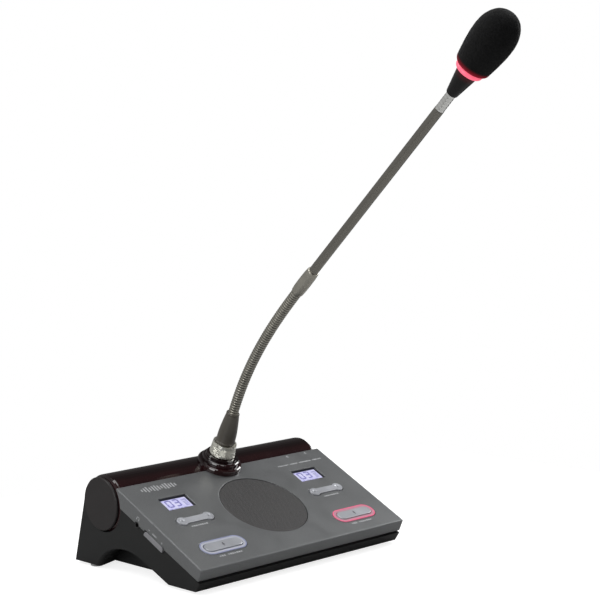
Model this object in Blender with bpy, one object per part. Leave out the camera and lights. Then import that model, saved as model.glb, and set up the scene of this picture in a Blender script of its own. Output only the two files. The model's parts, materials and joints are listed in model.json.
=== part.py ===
"""Desk conference unit with a plug-in gooseneck microphone.

A wedge-shaped base for two talkers: a folded metal control panel on a plastic housing,
with a dark infra-red window tube along its back edge. The microphone plugs into a socket
behind the loudspeaker and is held by a knurled ring. All lengths are in metres.

Base frame: X to the right of the talker, -Y towards the talker, +Z up, with its origin on
the table in the middle of the base. Everything hangs from the empty "base", which stands
BASE_Y behind the world's origin, so that the origin is under the middle of the whole unit.
Panel frame: X to the right, Y up the slope from the panel's front edge, Z out of it.
"""

import math

import bmesh
import bpy
from mathutils import Matrix, Vector

# Driving dimensions
BASE_WIDTH = 0.204  # over the metal panel
BASE_Y = 0.0985  # from the middle of the whole unit back to the middle of the base
GAP = 0.0003  # between neighbouring pieces
FOOT_HEIGHT = 0.002  # from the table to the plastic underside

# Metal panel, in its own frame
PANEL_FRONT = (0.0, -0.0724, 0.0187)  # the middle of its upper front edge, in the base frame
PANEL_SLOPE = math.radians(25.8)
PANEL_LENGTH = 0.1047  # up the slope
SHEET = 0.0015
SKIRT_FRONT = 0.0097  # depth of the folded edge at the front
SKIRT_BACK = 0.0121  # and at the back

# Infra-red window tube, in the base frame
TUBE_Y = 0.0400
TUBE_Z = 0.0504
TUBE_RADIUS = 0.0212
TUBE_WALL = 0.0020
TUBE_HALF_LENGTH = 0.1000
TUBE_END_RADIUS = 0.0168  # of the opening in its lipped ends
TUBE_END_ROUND = 0.0026
CAP_RADIUS = 0.0200
CAP_OFFSET = (0.0020, -0.0006)  # (y, z) of an end cap's middle from the tube's axis
CAP_FACE = 0.1022  # from the middle of the base to its face

# Plastic housing, in the base frame
HOUSING_WIDTH = 0.202
HOUSING_BACK_TOP = (0.0626, 0.0523)  # (y, z) of the back wall's ends
HOUSING_BACK_FOOT = (0.0774, FOOT_HEIGHT)
RECESS_DEPTH = 0.0185  # of the hand recess under each side
RECESS_SLANT = 0.35  # how much further back its back end lies for each step inwards
RECESS_FLARE = 0.0050  # radius of its back end's outer edge
CAVITY_HALF_WIDTH = 0.070
COVER_HALF_WIDTH = 0.080
COVER_FRONT = -0.0590
COVER_BACK = 0.0720
COVER_TOP = 0.0043
SCREW_HEAD_RADIUS = 0.0025
SCREW_RADIUS = 0.0012
FOOT_RADIUS = 0.0050

# Controls, in the panel frame: x to each side of the middle, y up the slope
GRILLE_Y = 0.0527
GRILLE_RADIUS = 0.0343
DISPLAY = (0.0664, 0.0758)
DISPLAY_SIZE = (0.0255, 0.0148)
ROCKER = (0.0662, 0.0536)
ROCKER_HALF_LENGTH = 0.0165
ROCKER_LOBE = 0.0045
ROCKER_PIVOT_Z = -0.0026
MIC_BUTTON = (0.0661, 0.0202)
LIGHT_RING_SIZE = (0.0405, 0.0150)
LIGHT_RING_BAND = 0.0026
MIC_BUTTON_SIZE = (0.0340, 0.0086)
BOARD_TOP = -0.0065
VOLUME_KEY = (0.0996, 0.0527, -0.0117)  # its middle
VOLUME_KEY_SIZE = (0.0056, 0.0226, 0.0040)
JACK_Y = 0.0737
JACK_Z = -0.0118

# Microphone socket and plug, along the socket's axis
SOCKET = (0.0260, 0.0653)  # (y, z) of the axis's origin, in the base frame
SOCKET_TILT = math.radians(24.0)  # of the axis, forward from upright
SOCKET_CLEARANCE = 0.0100
FLANGE_RADIUS = 0.0173
FLANGE_TOP = 0.0106
NECK_RADIUS = 0.0079
NECK_TOP = 0.0180
LIP_HEIGHT = 0.0010  # of the plug, above the neck
COLLAR_TOP = 0.0210
BOOT_TOP = 0.0472

# Gooseneck: a lower flex, a rigid tube and a short upper flex
FLEX_RADIUS = 0.0040
FLEX_LENGTH = 0.122
FLEX_STUB = 0.004  # from each end of the lower flex to its nearest pivot
FLEX_LINKS = 6
PIVOT_GAP = 0.0004  # from a pivot to the flat end of the link on each side
PIVOT_CORE = 0.0016  # radius of those flat ends
LINK_CHAMFER = 0.0006
TUBE_TILT = math.radians(48.1)
SLEEVE_RADIUS = 0.0049
SLEEVE_LENGTH = 0.024
STEM_RADIUS = 0.0035
STEM_LENGTH = 0.166
UPPER_FLEX_RADIUS = 0.0034
UPPER_STUB = 0.002
UPPER_LINK = 0.010
HEAD_TILT = math.radians(46.8)

# Microphone head, along its own axis from its pivot
CONE_LENGTH = 0.019
CONE_RADII = (0.0042, 0.0077)
SPIGOT_RADIUS = 0.0050
RING_LOW = UPPER_STUB + CONE_LENGTH + GAP
RING_RADIUS = 0.0100
RING_HEIGHT = 0.0043
CAPSULE_RADIUS = 0.0073
CAPSULE_LENGTH = 0.026
FOAM_RADIUS = 0.0152
FOAM_MOUTH_RADIUS = 0.0095
FOAM_SHOULDER_RADIUS = 0.0127
FOAM_BODY = 0.0260  # from the mouth to the widest place
FOAM_NOSE = 0.0197  # from there to the tip
FOAM_BLUNTNESS = 0.82  # 1 for half an ellipse, less for a blunter nose

LARGE, FINE, ROUND, SMALL = 48, 32, 24, 16  # steps round a turned piece, by its size
CUT_BEYOND = 0.01  # how far a cutter stands out of what it cuts

FINISHES = {
    # name: (colour, roughness, metallic)
    "panel_metal": ((0.13, 0.135, 0.14), 0.38, 0.85),
    "black_plastic": ((0.022, 0.023, 0.024), 0.55, 0.0),
    "window_plastic": ((0.022, 0.006, 0.008), 0.06, 0.0),
    "cap_plastic": ((0.032, 0.030, 0.030), 0.60, 0.0),
    "rubber": ((0.30, 0.30, 0.30), 0.80, 0.0),
    "screw_steel": ((0.45, 0.45, 0.46), 0.30, 1.0),
    "grille_metal": ((0.05, 0.05, 0.05), 0.55, 0.6),
    "speaker_paper": ((0.03, 0.03, 0.03), 0.90, 0.0),
    "speaker_steel": ((0.30, 0.30, 0.31), 0.40, 1.0),
    "display_glass": ((0.55, 0.55, 0.80), 0.05, 0.0),
    "display_body": ((0.05, 0.05, 0.12), 0.50, 0.0),
    "ring_unlit": ((0.45, 0.48, 0.60), 0.25, 0.0),
    "ring_lit": ((0.90, 0.10, 0.20), 0.25, 0.0),
    "button_plastic": ((0.30, 0.31, 0.33), 0.35, 0.3),
    "volume_plastic": ((0.20, 0.20, 0.21), 0.45, 0.0),
    "circuit_board": ((0.02, 0.12, 0.05), 0.50, 0.0),
    "jack_plastic": ((0.015, 0.015, 0.015), 0.40, 0.0),
    "battery_wrap": ((0.05, 0.12, 0.30), 0.35, 0.0),
    "socket_nickel": ((0.50, 0.50, 0.48), 0.25, 1.0),
    "collar_nickel": ((0.42, 0.42, 0.36), 0.32, 1.0),
    "boot_rubber": ((0.07, 0.065, 0.055), 0.50, 0.0),
    "flex_metal": ((0.07, 0.065, 0.055), 0.35, 0.8),
    "stem_metal": ((0.065, 0.060, 0.050), 0.35, 0.8),
    "bright_flex": ((0.30, 0.30, 0.27), 0.25, 1.0),
    "head_plastic": ((0.012, 0.012, 0.012), 0.35, 0.0),
    "capsule_metal": ((0.20, 0.20, 0.20), 0.40, 1.0),
    "foam": ((0.008, 0.008, 0.008), 0.95, 0.0),
}
SIDES = (("left", -1), ("right", 1))


# Shapes


def turned(profile, steps=ROUND):
    """A solid of revolution about Z. A profile that never meets the axis makes a ring."""
    shape = bmesh.new()
    points = [shape.verts.new((radius, 0, height)) for radius, height in profile]
    edges = [shape.edges.new(pair) for pair in zip(points, points[1:])]
    if profile[0][0] > 0:
        edges.append(shape.edges.new((points[-1], points[0])))
    bmesh.ops.spin(
        shape, geom=points + edges, cent=(0, 0, 0), axis=(0, 0, 1), angle=math.tau, steps=steps
    )
    bmesh.ops.remove_doubles(shape, verts=shape.verts, dist=1e-6)
    bmesh.ops.recalc_face_normals(shape, faces=shape.faces)
    return shape


def rod(radius, low, high, steps=SMALL):
    return turned([(0, low), (radius, low), (radius, high), (0, high)], steps)


def pipe(outer, inner, low, high, steps=ROUND):
    return turned([(inner, low), (outer, low), (outer, high), (inner, high)], steps)


def plate(outline, low, high):
    """A flat outline in X and Y, extruded from one height to another."""
    shape = bmesh.new()
    face = shape.faces.new([shape.verts.new((x, y, low)) for x, y in outline])
    swept = bmesh.ops.extrude_face_region(shape, geom=[face])
    top = [item for item in swept["geom"] if isinstance(item, bmesh.types.BMVert)]
    bmesh.ops.translate(shape, verts=top, vec=(0, 0, high - low))
    bmesh.ops.recalc_face_normals(shape, faces=shape.faces)
    return shape


def side_view(outline, low, high):
    """An outline in Y and Z, extruded along X from low to high."""
    across = Matrix(((0, 0, 1), (1, 0, 0), (0, 1, 0))).to_4x4()
    return placed(plate(outline, low, high), across)


def block(low, high):
    """A box between two corners."""
    low, high = Vector(low), Vector(high)
    shape = bmesh.new()
    bmesh.ops.create_cube(shape, size=1)
    bmesh.ops.scale(shape, vec=high - low, verts=shape.verts)
    bmesh.ops.translate(shape, vec=(low + high) / 2, verts=shape.verts)
    return shape


def placed(shape, matrix):
    bmesh.ops.transform(shape, matrix=matrix, verts=shape.verts)
    return shape


def at(x, y, z=0.0):
    return Matrix.Translation((x, y, z))


def along_x(shape):
    """Turns a shape about Z into one about X."""
    return placed(shape, Matrix.Rotation(math.pi / 2, 4, "Y"))


def gather(shapes):
    """Several closed shapes in one mesh, for a cutter or an addition."""
    whole = bmesh.new()
    for shape in shapes:
        piece = bpy.data.meshes.new("piece")
        shape.to_mesh(piece)
        shape.free()
        whole.from_mesh(piece)
        bpy.data.meshes.remove(piece)
    return whole


def arc(centre, radius, start, end, steps):
    """Points on an arc, between two angles in degrees."""
    angles = [math.radians(start + (end - start) * i / steps) for i in range(steps + 1)]
    return [(centre[0] + radius * math.cos(a), centre[1] + radius * math.sin(a)) for a in angles]


def pill(length, width, steps=12):
    reach = (length - width) / 2
    right = arc((reach, 0), width / 2, -90, 90, steps)
    left = arc((-reach, 0), width / 2, 90, 270, steps)
    return right + left


def dumbbell(half_length, lobe, waist_angle=137, steps=14):
    """Two round lobes joined by a narrower waist."""
    reach = half_length - lobe
    right = arc((reach, 0), lobe, -waist_angle, waist_angle, steps)
    left = arc((-reach, 0), lobe, 180 - waist_angle, 180 + waist_angle, steps)
    return right + left


# Objects


def finish_material(name):
    known = bpy.data.materials.get(name)
    if known:
        return known
    colour, roughness, metallic = FINISHES[name]
    material = bpy.data.materials.new(name)
    material.use_nodes = True
    shader = material.node_tree.nodes["Principled BSDF"]
    shader.inputs["Base Color"].default_value = (*colour, 1)
    shader.inputs["Roughness"].default_value = roughness
    shader.inputs["Metallic"].default_value = metallic
    return material


def add_empty(name, parent, place=(0, 0, 0), turn=0.0):
    """A frame in its parent's frame, turned about X."""
    frame = bpy.data.objects.new(name, None)
    frame.empty_display_size = 0.01
    frame.parent = parent
    frame.location = place
    frame.rotation_euler = (turn, 0, 0)
    bpy.context.scene.collection.objects.link(frame)
    return frame


def add_object(name, shape, parent, place):
    mesh = bpy.data.meshes.new(name)
    shape.to_mesh(mesh)
    shape.free()
    mesh.shade_smooth()
    mesh.set_sharp_from_angle(angle=math.radians(32))
    made = bpy.data.objects.new(name, mesh)
    made.parent = parent
    made.location = place
    bpy.context.scene.collection.objects.link(made)
    return made


def add_part(name, shape, finish, parent, place=(0, 0, 0)):
    part = add_object(name, shape, parent, place)
    part.data.materials.append(finish_material(finish))
    return part


def boolean(part, operation, name, shape, parent, place=(0, 0, 0)):
    tool = add_object(name, shape, parent, place)
    tool.hide_render = True
    tool.display_type = "WIRE"
    modifier = part.modifiers.new(name, "BOOLEAN")
    modifier.operation = operation
    modifier.solver = "EXACT"
    modifier.object = tool


def cut(part, name, shape, parent, place=(0, 0, 0)):
    boolean(part, "DIFFERENCE", name, shape, parent, place)


def fuse(part, name, shape, parent, place=(0, 0, 0)):
    boolean(part, "UNION", name, shape, parent, place)


def soften(part, width, segments=2):
    bevel = part.modifiers.new("edges", "BEVEL")
    bevel.width = width
    bevel.segments = segments
    bevel.limit_method = "ANGLE"
    bevel.angle_limit = math.radians(40)


# Base


def skirt_depth(y):
    """Depth of the panel's folded side at a place up the slope."""
    return SKIRT_FRONT + (SKIRT_BACK - SKIRT_FRONT) * y / PANEL_LENGTH


def panel_to_base(y, z):
    """(y, z) in the base frame of a place in the panel frame."""
    cos, sin = math.cos(PANEL_SLOPE), math.sin(PANEL_SLOPE)
    return PANEL_FRONT[1] + y * cos - z * sin, PANEL_FRONT[2] + y * sin + z * cos


def tube_space(extra, half_length):
    """The window tube's outside, enlarged, as a cutter."""
    return along_x(rod(TUBE_RADIUS + extra, -half_length, half_length, LARGE))


def socket_space():
    """Room for the socket's barrel, as a cutter."""
    return rod(SOCKET_CLEARANCE, -0.02, 0.01, ROUND)


def volume_slots():
    """Where each volume key comes out, partly through the skirt and partly through the wall."""
    middle, room = Vector(VOLUME_KEY), Vector((0.01, 0.0006, 0.0004))
    reach = Vector(VOLUME_KEY_SIZE) / 2 + room
    for _, side in SIDES:
        place = Vector((side * middle.x, middle.y, middle.z))
        yield block(place - reach, place + reach)


def jack_holes():
    for _, side in SIDES:
        hole = along_x(rod(0.0028, -0.006, 0.006))
        yield placed(hole, at(side * BASE_WIDTH / 2, JACK_Y, JACK_Z))


def panel_windows():
    """The openings for the controls, each through the sheet."""
    low, high = -2 * SHEET, CUT_BEYOND
    yield placed(rod(GRILLE_RADIUS + GAP, low, high, LARGE), at(0, GRILLE_Y))
    for _, side in SIDES:
        half = Vector(DISPLAY_SIZE) / 2
        x, y = side * DISPLAY[0], DISPLAY[1]
        yield block((x - half.x, y - half.y, low), (x + half.x, y + half.y, high))
        rocker = dumbbell(ROCKER_HALF_LENGTH + 0.0005, ROCKER_LOBE + 0.0005)
        yield placed(plate(rocker, low, high), at(side * ROCKER[0], ROCKER[1]))
        ring = pill(LIGHT_RING_SIZE[0] + 2 * GAP, LIGHT_RING_SIZE[1] + 2 * GAP)
        yield placed(plate(ring, low, high), at(side * MIC_BUTTON[0], MIC_BUTTON[1]))


def make_panel(base, panel, socket):
    outline = [
        (0, 0),
        (PANEL_LENGTH, 0),
        (PANEL_LENGTH, -SKIRT_BACK),
        (0, -SKIRT_FRONT),
    ]
    half = BASE_WIDTH / 2
    top_panel = add_part("top_panel", side_view(outline, -half, half), "panel_metal", panel)
    soften(top_panel, 0.0006)
    inside = block(
        (SHEET - half, SHEET, -CUT_BEYOND - SKIRT_BACK),
        (half - SHEET, PANEL_LENGTH + CUT_BEYOND, -SHEET),
    )
    cut(top_panel, "cut_panel_inside", inside, panel)
    cut(top_panel, "cut_panel_windows", gather(panel_windows()), panel)
    tube_hole = tube_space(2 * GAP, half + CUT_BEYOND)
    cut(top_panel, "cut_panel_tube", tube_hole, base, (0, TUBE_Y, TUBE_Z))
    cut(top_panel, "cut_panel_socket", socket_space(), socket)
    cut(top_panel, "cut_panel_sides", gather([*volume_slots(), *jack_holes()]), panel)


def housing_outline():
    """(y, z) round the housing: up its front, under the panel, round the tube, down the back."""
    y_top_front, z_top_front = panel_to_base(0.0035, -skirt_depth(0.0035) - GAP)
    y_top_back, z_top_back = panel_to_base(0.0950, -skirt_depth(0.0950) - GAP)
    seat = arc((TUBE_Y, TUBE_Z), TUBE_RADIUS + GAP, 183.4, 365.0, 28)
    return [
        (-0.0640, FOOT_HEIGHT),
        (-0.0688, 0.0086),
        (-0.0672, 0.0092),
        (y_top_front, z_top_front),
        (y_top_back, z_top_back),
        *seat,
        HOUSING_BACK_TOP,
        HOUSING_BACK_FOOT,
    ]


def cavity_outline():
    """(y, z) of the space inside: open above and below, round under the tube's seat."""
    under_seat = arc((TUBE_Y, TUBE_Z), TUBE_RADIUS + GAP + 0.0022, 190.0, 345.0, 16)
    return [(-0.0580, -0.01), (-0.0580, 0.05), (-0.0100, 0.09), *under_seat, (0.0745, -0.01)]


def recess_outline():
    """(y, z) of the hand recess: a slope beside the panel's, rounded over to the back leg."""
    slope_foot, slope_top = Vector((-0.0345, 0.0018)), Vector((-0.0054, 0.0145))
    round_a, round_b, leg = Vector((0.014, 0.0235)), Vector((0.038, 0.020)), Vector((0.046, 0.002))
    points = [(-0.0345, -0.01), slope_foot[:]]
    steps = 10
    for i in range(steps + 1):
        t = i / steps
        point = (1 - t) ** 3 * slope_top + 3 * t * (1 - t) ** 2 * round_a
        point += 3 * t * t * (1 - t) * round_b + t**3 * leg
        points.append(point[:])
    return [*points, (0.046, -0.01)]


def recess_space(side):
    """One hand recess, as a cutter. Its back end slants backwards and has a round outer edge."""
    face, slant_from, slant_full, steps = HOUSING_WIDTH / 2, 0.014, 0.046, 4
    stations = [(-CUT_BEYOND, RECESS_FLARE)]
    for i in range(steps + 1):
        turn = math.pi / 2 * i / steps
        stations.append((RECESS_FLARE * (1 - math.cos(turn)), RECESS_FLARE * (1 - math.sin(turn))))
    stations.append((RECESS_DEPTH, 0))
    shape = bmesh.new()
    rows = []
    for depth, flare in stations:
        row = []
        for y, z in recess_outline():
            share = min(max((y - slant_from) / (slant_full - slant_from), 0), 1)
            shift = share * (flare + RECESS_SLANT * max(depth, 0))
            row.append(shape.verts.new((side * (face - depth), y + shift, z)))
        rows.append(row)
    for outer, inner in zip(rows, rows[1:]):
        for i in range(len(outer)):
            shape.faces.new((outer[i - 1], outer[i], inner[i], inner[i - 1]))
    shape.faces.new(rows[0])
    shape.faces.new(rows[-1])
    bmesh.ops.recalc_face_normals(shape, faces=shape.faces)
    return shape


def cover_screw_places():
    return [(side * 0.075, y) for side in (-1, 1) for y in (-0.0535, 0.0665)]


def make_housing(base, panel):
    half = HOUSING_WIDTH / 2
    shape = side_view(housing_outline(), -half, half)
    housing = add_part("lower_housing", shape, "black_plastic", base)
    wide = CAVITY_HALF_WIDTH
    cut(housing, "cut_housing_inside", side_view(cavity_outline(), -wide, wide), base)
    recesses = [recess_space(side) for _, side in SIDES]
    wide = COVER_HALF_WIDTH
    rebate = block((-wide, COVER_FRONT, -0.01), (wide, COVER_BACK, COVER_TOP))
    cut(housing, "cut_housing_under", gather([*recesses, rebate]), base)
    pockets = [
        block((min(near, far), 0.032, -0.026), (max(near, far), 0.092, 0.010))
        for near, far in ((-0.065, 0.0020 - half), (0.065, half - 0.0020))
    ]
    cut(housing, "cut_housing_pockets", gather(pockets), panel)
    cut(housing, "cut_housing_sides", gather([*volume_slots(), *jack_holes()]), panel)
    seats = [cap_seat(side) for _, side in SIDES]
    cut(housing, "cut_housing_caps", gather(seats), base, (0, TUBE_Y, TUBE_Z))
    holes = [placed(rod(0.0016, 0.003, 0.0105), at(x, y)) for x, y in cover_screw_places()]
    cut(housing, "cut_housing_screws", gather(holes), base)


def make_cover(base):
    half = COVER_HALF_WIDTH - GAP
    front, back = COVER_FRONT + GAP, COVER_BACK - GAP
    shape = block((-half, front, FOOT_HEIGHT), (half, back, COVER_TOP - GAP))
    cover = add_part("bottom_cover", shape, "black_plastic", base)
    wide, narrow = SCREW_HEAD_RADIUS + 0.0004, SCREW_RADIUS + 0.0004
    seat, top = 0.0030, 0.0060
    hole = [(0, 0), (wide, 0), (wide, seat), (narrow, seat), (narrow, top), (0, top)]
    holes = [placed(turned(hole, SMALL), at(x, y)) for x, y in cover_screw_places()]
    cut(cover, "cut_cover_screws", gather(holes), base)


def make_cover_screws(base):
    head, shank = SCREW_HEAD_RADIUS, SCREW_RADIUS
    low, neck, tip = 0.0022, 0.0028, 0.0098
    screw = [(0, low), (head, low), (head, neck), (shank, neck), (shank, tip), (0, tip)]
    for number, (x, y) in enumerate(cover_screw_places(), 1):
        add_part(f"cover_screw_{number}", turned(screw, 12), "screw_steel", base, (x, y, 0))


def make_feet(base):
    radius, height, edge = FOOT_RADIUS, FOOT_HEIGHT - GAP, 0.0005
    foot = [(0, 0), (radius - edge, 0), (radius, edge), (radius, height), (0, height)]
    front_places = [(-0.0900, -0.0520), (0.0900, -0.0520)]
    back_places = [(-0.0955, 0.0575), (0.0955, 0.0575)]
    for number, (x, y) in enumerate(front_places + back_places, 1):
        add_part(f"rubber_foot_{number}", turned(foot, SMALL), "rubber", base, (x, y, 0))


def make_window_tube(tube_frame, socket):
    """The tube: lipped inwards at its ends and rounded over there on the outside."""
    half, lip, bore = TUBE_HALF_LENGTH, 0.0030, TUBE_RADIUS - TUBE_WALL
    radius = TUBE_END_ROUND
    over = arc((TUBE_RADIUS - radius, half - radius), radius, 90, 0, 4)
    right = [(bore, half - lip), (TUBE_END_RADIUS, half - lip), (TUBE_END_RADIUS, half), *over]
    left = [(reach, -along) for reach, along in reversed(right)]
    shape = along_x(turned([*right, *left], LARGE))
    tube = add_part("ir_window_tube", shape, "window_plastic", tube_frame)
    cut(tube, "cut_tube_socket", socket_space(), socket)


def cap_seat(side):
    """Room for an end cap beside the housing, as a cutter in the tube's frame."""
    near, far = sorted((side * TUBE_HALF_LENGTH, side * (CAP_FACE + CUT_BEYOND)))
    return placed(along_x(rod(CAP_RADIUS + GAP, near, far, LARGE)), at(0, *CAP_OFFSET))


def make_end_caps(tube_frame):
    """A disc over each end of the tube, with a spigot inside it."""
    spigot, near, edge = TUBE_END_RADIUS - GAP, TUBE_HALF_LENGTH + GAP, 0.0006
    low = near - 0.0045
    disc = [(0, near), (CAP_RADIUS, near), (CAP_RADIUS, CAP_FACE - edge)]
    disc += [(CAP_RADIUS - edge, CAP_FACE), (0, CAP_FACE)]
    for side_name, side in SIDES:
        turn = Matrix.Rotation(math.pi if side < 0 else 0, 4, "Z")
        shape = placed(along_x(turned(disc, LARGE)), at(0, *CAP_OFFSET) @ turn)
        cap = add_part(f"end_cap_{side_name}", shape, "cap_plastic", tube_frame)
        plug = placed(along_x(rod(spigot, low, near + edge, LARGE)), turn)
        fuse(cap, f"cap_spigot_{side_name}", plug, tube_frame)


def make_ir_board(tube_frame):
    """The board inside the tube, with a row of infra-red emitters standing on each half."""
    low, top = -0.0116, -0.0100
    shape = block((-0.085, -0.008, low), (0.085, 0.008, top))
    board = add_part("ir_board", shape, "circuit_board", tube_frame)
    foot, shoulder, tip, radius = top - 0.0004, -0.0060, -0.0042, 0.0025
    emitter = [(0, foot), (radius, foot), (radius, shoulder), (0.0014, tip - 0.0003), (0, tip)]
    places = [side * x for _, side in SIDES for x in (0.020, 0.040, 0.060, 0.078)]
    emitters = [placed(turned(emitter, 12), at(x, 0)) for x in places]
    fuse(board, "ir_emitters", gather(emitters), tube_frame)


def make_loudspeaker(panel):
    """The grille disc, just below the panel's face, and the loudspeaker behind it."""
    place = (0, GRILLE_Y, 0)
    top, rim, edge = -0.0004, GRILLE_RADIUS, 0.0003
    low = top - 0.0010
    grille = [(0, low), (rim, low), (rim, top - edge), (rim - edge, top), (0, top)]
    add_part("speaker_grille", turned(grille, LARGE), "grille_metal", panel, place)
    frame = [
        (0.0310, -0.0024),
        (0.0330, -0.0024),
        (0.0330, -0.0040),
        (0.0290, -0.0040),
        (0.0150, -0.0130),
        (0.0090, -0.0130),
        (0.0090, -0.0118),
        (0.0140, -0.0118),
    ]
    add_part("speaker_frame", turned(frame, ROUND), "speaker_steel", panel, place)
    cone = [
        (0, -0.0066),
        (0.0060, -0.0072),
        (0.0080, -0.0108),
        (0.0100, -0.0108),
        (0.0280, -0.0028),
        (0.0300, -0.0024),
        (0.0295, -0.0018),
        (0.0270, -0.0018),
        (0.0080, -0.0090),
        (0.0055, -0.0060),
        (0, -0.0054),
    ]
    add_part("speaker_cone", turned(cone, ROUND), "speaker_paper", panel, place)
    add_part("speaker_magnet", rod(0.0150, -0.0210, -0.0133, ROUND), "speaker_steel", panel, place)


def make_displays(panel):
    """A clear lens in each display's window, with the display module under the sheet."""
    half = Vector(DISPLAY_SIZE) / 2
    x, y = half - Vector((GAP, GAP))
    wide, high = half + Vector((0.0020, 0.0015))
    for side_name, side in SIDES:
        place = (side * DISPLAY[0], DISPLAY[1], 0)
        lens = block((-x, -y, -0.0016), (x, y, -0.0010))
        add_part(f"display_lens_{side_name}", lens, "display_glass", panel, place)
        module = block((-wide, -high, -0.0058), (wide, high, -0.0019))
        add_part(f"display_module_{side_name}", module, "display_body", panel, place)


def dimple(x, top):
    """A shallow round hollow for a fingertip, as a cutter."""
    radius, depth = 0.006, 0.0004
    ball = bmesh.new()
    bmesh.ops.create_uvsphere(ball, u_segments=SMALL, v_segments=2 * SMALL, radius=radius)
    return placed(ball, at(x, 0, top + radius - depth))


def make_rockers(panel):
    """A channel key for each talker, tipping to either side about a pin under its middle."""
    low, high = -0.0022 - ROCKER_PIVOT_Z, 0.0009 - ROCKER_PIVOT_Z
    reach = ROCKER_HALF_LENGTH - ROCKER_LOBE
    for side_name, side in SIDES:
        place = (side * ROCKER[0], ROCKER[1], ROCKER_PIVOT_Z)
        frame = add_empty(f"rocker_axis_{side_name}", panel, place)
        shape = plate(dumbbell(ROCKER_HALF_LENGTH, ROCKER_LOBE), low, high)
        key = add_part(f"channel_key_{side_name}", shape, "button_plastic", frame)
        soften(key, 0.0004, 1)
        dimples = gather([dimple(-reach, high), dimple(reach, high)])
        cut(key, f"cut_dimples_{side_name}", dimples, frame)


def make_mic_buttons(panel):
    for side_name, side in SIDES:
        place = (side * MIC_BUTTON[0], MIC_BUTTON[1], 0)
        length, width = LIGHT_RING_SIZE
        shape = plate(pill(length, width), -0.0024, 0.0003)
        glow = "ring_unlit" if side < 0 else "ring_lit"
        ring = add_part(f"mic_light_ring_{side_name}", shape, glow, panel, place)
        hole = plate(pill(length - 2 * LIGHT_RING_BAND, width - 2 * LIGHT_RING_BAND), -0.01, 0.01)
        cut(ring, f"cut_ring_{side_name}", hole, panel, place)
        shape = plate(pill(*MIC_BUTTON_SIZE), -0.0024, 0.0010)
        button = add_part(f"mic_button_{side_name}", shape, "button_plastic", panel, place)
        soften(button, 0.0005)


def make_control_boards(panel):
    """A board under each talker's keys, with a switch under the mic button and each key lobe."""
    low, high, switch_top, switch_half = BOARD_TOP - 0.0016, BOARD_TOP, -0.0036, 0.003
    reach = ROCKER_HALF_LENGTH - ROCKER_LOBE
    for side_name, side in SIDES:
        near, far = sorted((side * 0.040, side * 0.0965))
        shape = block((near, 0.014, low), (far, 0.092, high))
        board = add_part(f"control_board_{side_name}", shape, "circuit_board", panel)
        places = [(side * MIC_BUTTON[0], MIC_BUTTON[1])]
        places += [(side * ROCKER[0] + lobe, ROCKER[1]) for lobe in (-reach, reach)]
        switch = block((-switch_half, -switch_half, low + 0.0008), (switch_half, switch_half, switch_top))
        switches = gather([placed(switch.copy(), at(x, y)) for x, y in places])
        fuse(board, f"key_switches_{side_name}", switches, panel)


def make_main_board(base):
    low, high = 0.0050, 0.0066
    board = add_part(
        "main_board", block((-0.062, -0.052, low), (0.062, 0.008, high)), "circuit_board", base
    )
    foot = high - 0.0006
    parts = [
        block((-0.050, -0.040, foot), (-0.034, -0.024, 0.0090)),
        block((-0.008, -0.044, foot), (0.010, -0.030, 0.0084)),
        block((0.030, -0.046, foot), (0.048, -0.034, 0.0100)),
        placed(rod(0.004, foot, 0.0150), at(-0.046, -0.010)),
        placed(rod(0.004, foot, 0.0150), at(0.044, -0.012)),
    ]
    fuse(board, "main_board_parts", gather(parts), base)


def make_battery(base):
    shape = block((-0.034, 0.012, 0.0050), (0.034, 0.058, 0.0240))
    battery = add_part("battery_pack", shape, "battery_wrap", base)
    soften(battery, 0.0030)


def volume_key_outline():
    """(y, z) round a volume key about its middle: its upper corners are the rounder ones."""
    _, length, height = VOLUME_KEY_SIZE
    upper, lower = 0.0027, 0.0006
    end, top = length / 2, height / 2
    return [
        *arc((end - upper, top - upper), upper, 0, 90, 6),
        *arc((upper - end, top - upper), upper, 90, 180, 6),
        *arc((lower - end, lower - top), lower, 180, 270, 3),
        *arc((end - lower, lower - top), lower, 270, 360, 3),
    ]


def make_volume_keys(panel):
    """A volume key in each side, tipping about its middle onto the two plungers of a switch."""
    half = VOLUME_KEY_SIZE[0] / 2
    plunger, plunger_y = 0.0010, 0.0042
    for side_name, side in SIDES:
        place = (side * VOLUME_KEY[0], VOLUME_KEY[1], VOLUME_KEY[2])
        frame = add_empty(f"volume_axis_{side_name}", panel, place)
        shape = side_view(volume_key_outline(), -half, half)
        key = add_part(f"volume_key_{side_name}", shape, "volume_plastic", frame)
        soften(key, 0.0004)
        near, far = sorted((-side * 0.0126, -side * 0.0044))
        shape = block((near, -0.0060, -0.0028), (far, 0.0060, 0.0019))
        switch = add_part(f"volume_switch_{side_name}", shape, "jack_plastic", frame)
        reach = sorted((-side * 0.0050, -side * 0.0036))
        plungers = [
            placed(along_x(rod(plunger, *reach)), at(0, y)) for y in (-plunger_y, plunger_y)
        ]
        fuse(switch, f"volume_plungers_{side_name}", gather(plungers), frame)


def make_jacks(panel):
    """A headphone socket: a nozzle in the side wall and a block behind it, bored from outside."""
    nozzle, bore, depth = 0.0025, 0.0018, 0.012
    for side_name, side in SIDES:
        place = (side * HOUSING_WIDTH / 2, JACK_Y, JACK_Z)
        shape = along_x(rod(nozzle, *sorted((-side * 0.0050, side * 0.0006)), ROUND))
        jack = add_part(f"headphone_jack_{side_name}", shape, "jack_plastic", panel, place)
        near, far = sorted((-side * 0.0140, -side * 0.0030))
        body = block((near, -0.0034, -0.0030), (far, 0.0034, 0.0026))
        fuse(jack, f"jack_body_{side_name}", body, panel, place)
        hole = along_x(rod(bore, *sorted((-side * depth, side * 0.01))))
        cut(jack, f"cut_jack_{side_name}", hole, panel, place)


# Microphone


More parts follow.
